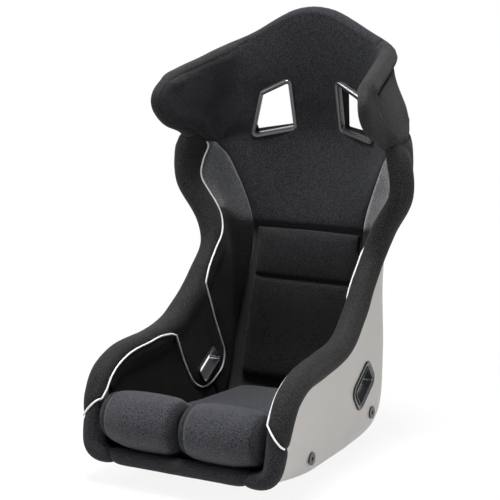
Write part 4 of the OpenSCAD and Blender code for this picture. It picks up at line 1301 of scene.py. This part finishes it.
# Pairs of a distance from a cushion's end and how far its outline draws in there
ENDS = ((0, 9), (2.5, 4.6), (7, 1.6), (16, 0))
THIGH_START, THIGH_LENGTH, GUSSET = 5, 168, 15
# In metres: the gussets' seams, how near a thigh cushion comes to the seat's middle, and the
# radius at which its cloth is laid round
GUSSET_DIP, GUSSET_WIDTH, THIGH_GAP, THIGH_ROUND = .0022, .0028, .0038, .06
# Place along of the back cushion's channel
CHANNEL_AT = 7.1


def belt(circles, shrink, count):
    """Even points of a belt drawn tight round circles (x, y, r)."""
    a = np.arange(96) * math.tau / 96
    u = np.stack([np.cos(a), np.sin(a)], 1)
    c = np.array(circles)
    best = c[(u @ c[:, :2].T + c[:, 2]).argmax(1)]
    p = best[:, :2] + u * np.maximum(best[:, 2] - shrink, 1)[:, None]
    p = np.r_[p, p[:1]]
    run = running(p)
    return sample(p, run, np.linspace(0, run[-1], count, endpoint=False))


def both_ends(places, length):
    """Places from one end, the middle and the same places from the other end."""
    return [*places, length / 2, *(length - k for k in places[::-1])]


def ring_solid(name, rings):
    """Closed mesh through rings of points."""
    m, n = len(rings), len(rings[0])
    faces = [list(range(n))[::-1], list(range((m - 1) * n, m * n))]
    for i in range(m - 1):
        for k in range(n):
            a, b = i * n + k, i * n + (k + 1) % n
            faces.append([a, b, b + n, a + n])
    mesh = bpy.data.meshes.new(name)
    mesh.from_pydata([Vector(place(p)) for ring in rings for p in ring], [], faces)
    bm = bmesh.new()
    bm.from_mesh(mesh)
    bmesh.ops.recalc_face_normals(bm, faces=bm.faces)
    bm.to_mesh(mesh)
    bm.free()
    return link(mesh, name)


def bake(obj):
    """Applies the modifiers of a piece."""
    bpy.context.view_layer.update()
    view = bpy.context.evaluated_depsgraph_get()
    mesh = bpy.data.meshes.new_from_object(obj.evaluated_get(view))
    old = obj.data
    obj.modifiers.clear()
    obj.data = mesh
    bpy.data.meshes.remove(old)


def coordinates(mesh):
    """Places of a mesh's vertices."""
    out = np.empty(len(mesh.vertices) * 3)
    mesh.vertices.foreach_get("co", out)
    return out.reshape(-1, 3)


def swell(obj, travel):
    """Blows the cover up over its filling; no point moves by more than this share of the most."""
    z = bpy.context.scene.seat_sizes
    cap = z.cushion_swell * travel
    remesh = obj.modifiers.new("grid", "REMESH")
    remesh.mode, remesh.voxel_size = "VOXEL", z.cushion_voxel
    bake(obj)
    start = coordinates(obj.data)
    settings = obj.modifiers.new("swell", "CLOTH").settings
    settings.use_pressure, settings.uniform_pressure_force = True, PRESSURE
    settings.effector_weights.gravity = 0
    settings.quality = 4
    scene = bpy.context.scene
    for step in range(1, SWELL_STEPS + 1):
        scene.frame_set(step)
    view = bpy.context.evaluated_depsgraph_get()
    move = coordinates(obj.evaluated_get(view).data) - start
    obj.modifiers.clear()
    scene.frame_set(1)
    size = np.linalg.norm(move, axis=1, keepdims=True)
    move *= np.minimum(1, cap / np.maximum(size, 1e-9))
    obj.data.vertices.foreach_set("co", (start + move).ravel())
    fine = obj.modifiers.new("fine", "SUBSURF")
    fine.levels = fine.render_levels = 1
    bake(obj)
    for f in obj.data.polygons:
        f.use_smooth = True


def lay_uv(obj, places):
    """Texture places of a piece, one for each vertex."""
    mesh = obj.data
    layer = mesh.uv_layers[0] if mesh.uv_layers else mesh.uv_layers.new(name="UVMap")
    index = np.empty(len(mesh.loops), int)
    mesh.loops.foreach_get("vertex_index", index)
    layer.data.foreach_set("uv", places[index].ravel())


def thigh_ring(x, shrink):
    """Section of the right thigh cushion at x, which rises towards the outside."""
    def lifted(y, z, r, rise):
        k = rise * np.clip((x - 110) / 65, 0, 1) ** 1.5
        return y, z + k / 2, r - k / 2
    circles = [lifted(THIGH_Y, 126, THIGH_R, 14), lifted(-60, 70, 44, 34), lifted(5, 62, 42, 40)]
    return [(x, *p) for p in belt(circles, shrink, 64)]


def make_thigh_cushions():
    """D-shaped thigh cushions with sewn end gussets."""
    length, middle = THIGH_LENGTH, THIGH_LENGTH / 2
    axis = place((0, LIP_Y + 60, 100))
    seams = [THIGH_START + d for d in (GUSSET, length - GUSSET)]
    low, high = (x * .001 for x in seams)
    for name, side in SIDES:
        rings = []
        for d in both_ends((0, 1.2, 3, 5.5, 9, 14, 22, 36, 55), length):
            crown = 3.5 * (1 - ((d - middle) / middle) ** 2)
            shrink = table(ENDS, min(d, length - d)) + 5 - crown
            rings.append([(x * side, y, z) for x, y, z in thigh_ring(THIGH_START + d, shrink)])
        obj = ring_solid(f"thigh_cushion_cover_{name}", rings)
        swell(obj, .8)
        mesh = obj.data
        co = coordinates(mesh)
        co[:, 0] = side * np.maximum(co[:, 0] * side, THIGH_GAP)
        for x in seams:
            gap = np.abs(co[:, 0] - side * x * .001)
            away = unit((co - axis) * (0, 1, 1))
            co -= away * (GUSSET_DIP * np.exp(-(gap / GUSSET_WIDTH) ** 2))[:, None]
        mesh.vertices.foreach_set("co", co.ravel())
        # painted shade: the ends past the gusset seams take the plain knit, darker than the lighter
        # copy on the middle, for the shade on the ends
        for f in mesh.polygons:
            f.material_index = 0 if low < abs(f.center.x) < high else 1
        co = coordinates(mesh)
        angle = np.arctan2(co[:, 2] - axis[2], co[:, 1] - axis[1])
        lay_uv(obj, np.stack([co[:, 0], angle * THIGH_ROUND], 1))
        dress(obj, "knit_painted_lighter", "knit")
        fit(obj, f"thigh_cushion_{name}", f"thigh_cushion_{name}")


def make_base_cushion():
    """Seat base cushion."""
    half, front = 150, 51
    rise = SHELL_T + PAD_GAP + LINER_T + 5
    rings = []
    for d in both_ends((0, 1.5, 3.5, 7, 12, 20, 32, 50, 75, 105), 2 * half):
        e = min(d, 2 * half - d)
        up = 34 * (1 - np.clip((e - 2) / 45, 0, 1)) ** 1.6
        crown = 8 * (1 - ((d - half) / half) ** 2)
        front_top, rear_top = 80 + crown, 58 + crown
        circles = [(front + 14, rise + 14 + up, 14), (front + 18, front_top, 18),
                   (322, rear_top, 16), (314, rear_top - 4, 18), (240, rise + 14 + up, 14)]
        rings.append([(d - half, *p) for p in belt(circles, table(ENDS, e) + 3, 72)])
    obj = ring_solid("base_cushion_cover", rings)
    swell(obj, .6)
    lay_uv(obj, coordinates(obj.data)[:, :2])
    # painted light: the base cushion wears the lighter copy of the knit
    dress(obj, "knit_painted_lighter")
    fit(obj, "base_cushion", "base_cushion")


def make_back_cushion():
    """Lumbar and lower back cushion with a deep sewn channel."""
    channel_depth = bpy.context.scene.seat_sizes.channel
    low_end, high_end = 5.52, 7.97
    share_rows = ((5.5, .8), (6, .83), (6.5, .86), (7, .92), (7.5, .95), (8, .95))
    rows = between([5.54, CHANNEL_AT, high_end], 9.0, .2)
    v, c = np.meshgrid(rows, np.linspace(-1, 1, 41), indexing="ij")
    q = table(FOAM_EDGE, v) * table(share_rows, v, .1) * c * .985
    below = v < CHANNEL_AT
    v0, v1 = np.where(below, low_end, CHANNEL_AT), np.where(below, CHANNEL_AT, high_end)
    lobe = np.sqrt(np.maximum(0, np.sin(np.pi * np.clip((v - v0) / (v1 - v0), 0, 1))))
    back = SHELL_T + PAD_GAP + LINER_T + 3.2
    face = back + 7 + 7.5 * lobe * (1 - np.abs(c) ** 4)
    rear = outer(v, q) - normal(v, q) * back
    front = outer(v, q) - normal(v, q) * face[..., None]
    obj = ring_solid("back_cushion_cover", np.concatenate([front, rear[:, ::-1]], 1))
    swell(obj, .7)
    across = np.linspace(-.5, .5, 120)
    line = place(outer(CHANNEL_AT, across) - normal(CHANNEL_AT, across) * 20)
    tree = finder(line)
    co = coordinates(obj.data)
    for i, p in enumerate(co):
        near = line[tree.find(p)[1]]
        d = abs(p[2] - near[2])
        if p[1] < near[1] + .012:
            co[i, 1] += channel_depth * .6 * math.exp(-(d / .0045) ** 2)
            co[i, 1] += .0006 * noise.noise(Vector(p) / .009) * math.exp(-(d / .02) ** 2)
    obj.data.vertices.foreach_set("co", co.ravel())
    lay_uv(obj, coordinates(obj.data)[:, ::2])
    # painted light: the lighter copy of the black cloth
    dress(obj, "black_cloth_painted_lighter")
    fit(obj, "back_cushion", "back_cushion")


# ---- Trims --------------------------------------------------------------------------------------
def band(name, where, outline, loops, mats=None, side=1):
    """Ring of metal or plastic swept through loops (inset, height) of an outline."""
    verts = []
    for inset, height in loops:
        ring = outline(inset)
        for x, y in ring:
            p = where @ Vector((x, y, height(x, y) if callable(height) else height))
            verts.append(place((p.x * side, p.y, p.z)))
    n, m = len(ring), len(loops)
    faces = []
    for i in range(m):
        for k in range(n):
            a, b = i * n + k, i * n + (k + 1) % n
            c, d = ((i + 1) % m) * n + (k + 1) % n, ((i + 1) % m) * n + k
            faces.append([a, b, c, d])
    mesh = bpy.data.meshes.new(name)
    mesh.from_pydata([Vector(v) for v in verts], [], faces)
    if mats:
        mesh.polygons.foreach_set("material_index", np.repeat(mats, n))
    bm = bmesh.new()
    bm.from_mesh(mesh)
    bmesh.ops.recalc_face_normals(bm, faces=bm.faces)
    for f in bm.faces:
        f.smooth = True
    for e in bm.edges:
        if len(e.link_faces) == 2 and e.calc_face_angle(0) > .6:
            e.smooth = False
    bm.to_mesh(mesh)
    bm.free()
    return link(mesh, name)


def make_shoulder_trims():
    """Satin bezels of the shoulder slots, their throats and rear rings."""
    face = bpy.context.scene.seat_sizes.bezel_face * 1000
    tilt = turn(-4.8, 8.3, 0)
    n = tilt @ Vector((0, 0, 1))

    def rear(x, y):
        """Height of the tilted rear end over a place of the outline."""
        return -29.9 - (n.x * x + n.y * y) / n.z
    bezel = [(0, -6.5), (0, 3), (.5, 4.2), (1.6, 5), (face - 1.8, 5), (face - .6, 4.4),
             (face, 3), (face, -8), (face + .3, rear), (face - 2.5, rear), (face - 2.5, -6.5)]
    mats = [0, 0, 0, 0, 0, 0, 0, 1, 1, 1, 0]
    ring = [(0, .2), (0, 2.2), (.8, 3), (4.6, 3), (5.1, 2.4), (5.1, .2)]
    back = (SHOULDER_PLACE @ Matrix.Translation((0, 0, -26.9)) @ tilt
            @ Matrix.Translation((0, 0, -3)))
    for name, side in SIDES:
        obj = band(f"shoulder_trim_{name}", SHOULDER_PLACE, shoulder_line, bezel, mats, side)
        fit(dress(obj, "satin", "dark_cloth"), f"shoulder_bezel_{name}")
        obj = band(f"shoulder_rear_ring_{name}", back, shoulder_line, ring, None, side)
        fit(dress(obj, "satin"), f"shoulder_ring_{name}")


def make_lap_trims():
    """Frames and sleeves of the lap slots."""
    frame_loops = [(-14.5, .4), (-14.5, 1.6), (-13.6, 3), (-11.4, 3.4), (-9.6, 3.2), (-8.8, 2),
                   (-4.4, 1.4), (-3.4, 3.2), (-2.9, 3.4), (-2.9, .4)]
    mats = [1, 1, 0, 0, 0, 0, 1, 1, 1, 1]
    sleeve = [(-2.5, -24), (-2.5, 2.4), (-1.8, 3), (-.6, 3), (0, 2.4), (0, -23.2), (-.6, -24)]
    for name, side in SIDES:
        obj = band(f"lap_trim_{name}", LAP_PLACE, lap_line, frame_loops, mats, side)
        fit(dress(obj, "satin", "dark_cloth"), f"lap_frame_{name}")
        obj = band(f"lap_throat_{name}", LAP_PLACE, lap_line, sleeve, None, side)
        fit(dress(obj, "satin"), f"lap_sleeve_{name}")


def make_crotch_trim():
    """Collar of the crotch slot."""
    deck = SHELL_T + PAD_GAP + LINER_T + .4
    loops = [(-2.5, .3), (-2.5, deck + 1), (-7.5, deck + 1), (-7.5, deck + 2), (-6.8, deck + 2.5),
             (-1, deck + 2.5), (0, deck + 1.6), (0, .3)]
    obj = band("crotch_collar", CROTCH_PLACE, crotch_line, loops)
    fit(dress(obj, "satin"), "crotch_slot_trim")


def make_carried_over():
    """Finishes of the nodes whose shape is right as it is."""
    for node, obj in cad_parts.items():
        if node.startswith("mount_insert"):
            dress(obj, "steel")
        elif node.endswith("strips"):
            dress(obj, "felt")


# ---- Stage --------------------------------------------------------------------------------------
# Name, place, height that it faces, diameter and power of each lamp
LAMPS = (("key", (-1.9, -1.4, 2.4), .45, 1.8, 34), ("fill", (3.3, -.35, 1.2), .4, 2.0, 34),
         ("top", (0, -.35, 3.0), .4, 1.3, 150), ("back", (-1.8, 2.2, 1.9), .5, 1.6, 22))
SKY, SKY_STRENGTH = (.92, .95, 1, 1), .24
FLOOR, WHITE = (.86, .86, .86, 1), (1, 1, 1, 1)
# The floor near the seat glows by a share of this much, and is white from the far distance on
FLOOR_GLOW, FLOOR_NEAR, FLOOR_FAR = .88, .35, .95
CAMERA_AT, CAMERA_AIM, LENS = (1.388, -2.6209, 1.002), (-.461, .867, -.191), 108


def area_light(name, spot, height, size, power):
    """Round lamp that faces a point over the middle of the seat."""
    lamp = bpy.data.lights.new(name, "AREA")
    lamp.shape, lamp.size, lamp.energy = "DISK", size, power
    obj = bpy.data.objects.new(name, lamp)
    obj.location = spot
    aim = Vector((0, 0, height)) - Vector(spot)
    obj.rotation_euler = aim.to_track_quat("-Z", "Y").to_euler()
    bpy.context.scene.collection.objects.link(obj)


def make_floor():
    """Pale floor that catches the seat's shadow and fades to white."""
    bpy.ops.mesh.primitive_plane_add(size=40, location=(0, 0, -.0005))
    floor = bpy.context.object
    floor.name = "studio_floor"
    g = material("studio_floor")
    ray = g.node("LightPath")
    seen = ray + ray.output("Is Glossy Ray") + ray.output("Is Transmission Ray")
    diffuse = g.node("BsdfDiffuse", None, {"Color": FLOOR})
    white = g.node("Emission", None, {"Color": WHITE, "Strength": 1.0})
    distance = g.node("VectorMath", {"operation": "LENGTH"}, {0: g.here()}, out=1)
    away = distance.step(FLOOR_NEAR, FLOOR_FAR)
    glow = seen.maths("MINIMUM", 1.0) * (away * (1 - FLOOR_GLOW) + FLOOR_GLOW)
    finish = g.node("MixShader", None, {0: glow, 1: diffuse, 2: white})
    g.node("OutputMaterial", None, {"Surface": finish})
    floor.data.materials.append(g.owner)


def make_sky():
    """Dim sky that the camera sees as white."""
    world = bpy.data.worlds.new("studio")
    bpy.context.scene.world = world
    g = Graph(world)
    seen = g.node("LightPath")
    dim = g.node("Background", None, {"Color": SKY, "Strength": SKY_STRENGTH})
    white = g.node("Background", None, {"Color": WHITE, "Strength": 1.0})
    g.node("OutputWorld", None,
           {"Surface": g.node("MixShader", None, {0: seen, 1: dim, 2: white})})


def make_stage():
    """Pale floor, soft light and the camera."""
    make_floor()
    make_sky()
    for lamp in LAMPS:
        area_light(*lamp)
    scene = bpy.context.scene
    camera = bpy.data.cameras.new("camera")
    camera.lens, camera.sensor_width = LENS, 36
    obj = bpy.data.objects.new("camera", camera)
    obj.location = CAMERA_AT
    obj.rotation_euler = Vector(CAMERA_AIM).to_track_quat("-Z", "Y").to_euler()
    scene.collection.objects.link(obj)
    scene.camera = obj
    scene.view_settings.view_transform = "Standard"


# ---- Operators ----------------------------------------------------------------------------------
def operator(idname, label, job):
    """Operator class that runs one job."""
    def execute(self, context):
        job()
        return {"FINISHED"}
    return type("SEAT_OT_" + idname, (bpy.types.Operator,), {
        "__doc__": job.__doc__, "bl_idname": "seat." + idname, "bl_label": label,
        "bl_options": {"REGISTER"}, "execute": execute})


OPERATORS = [
    operator("shell", "Shell", make_shell),
    operator("liners", "Liners", make_liners),
    operator("bolsters", "Bolsters", make_bolsters),
    operator("inner_sides", "Inner sides", make_inner_sides),
    operator("front", "Front lip", make_front),
    operator("head", "Head and wings", make_head),
    operator("outside", "Outside covers", make_outside),
    operator("piping", "Piping", make_piping),
    operator("thigh_cushions", "Thigh cushions", make_thigh_cushions),
    operator("base_cushion", "Base cushion", make_base_cushion),
    operator("back_cushion", "Back cushion", make_back_cushion),
    operator("shoulder_trims", "Shoulder slot trims", make_shoulder_trims),
    operator("lap_trims", "Lap slot trims", make_lap_trims),
    operator("crotch_trim", "Crotch slot trim", make_crotch_trim),
    operator("carried_over", "Inserts and strips", make_carried_over),
    operator("stage", "Stage", make_stage),
]


class SEAT_PT_panel(bpy.types.Panel):
    """Sizes, colours and the steps of the seat."""
    bl_label = "Racing seat"
    bl_idname = "SEAT_PT_panel"
    bl_space_type = "VIEW_3D"
    bl_region_type = "UI"
    bl_category = "Seat"

    def draw(self, context):
        for group in (context.scene.seat_sizes, context.scene.seat_colours):
            box = self.layout.box()
            for key in group.__annotations__:
                box.prop(group, key)
        for kind in OPERATORS:
            self.layout.operator(kind.bl_idname)


CLASSES = [SeatSizes, SeatColours, *OPERATORS, SEAT_PT_panel]


def register():
    """Registers the settings, the operators and the panel."""
    for kind in CLASSES:
        bpy.utils.register_class(kind)
    bpy.types.Scene.seat_sizes = bpy.props.PointerProperty(type=SeatSizes)
    bpy.types.Scene.seat_colours = bpy.props.PointerProperty(type=SeatColours)


def unregister():
    """Undoes register."""
    del bpy.types.Scene.seat_sizes, bpy.types.Scene.seat_colours
    for kind in reversed(CLASSES):
        bpy.utils.unregister_class(kind)


def main():
    """Builds the seat and its stage, and writes the sizes of the frame and of the pieces."""
    register()
    for kind in OPERATORS:
        space, name = kind.bl_idname.split(".")
        getattr(getattr(bpy.ops, space), name)()


if __name__ == "__main__":
    main()
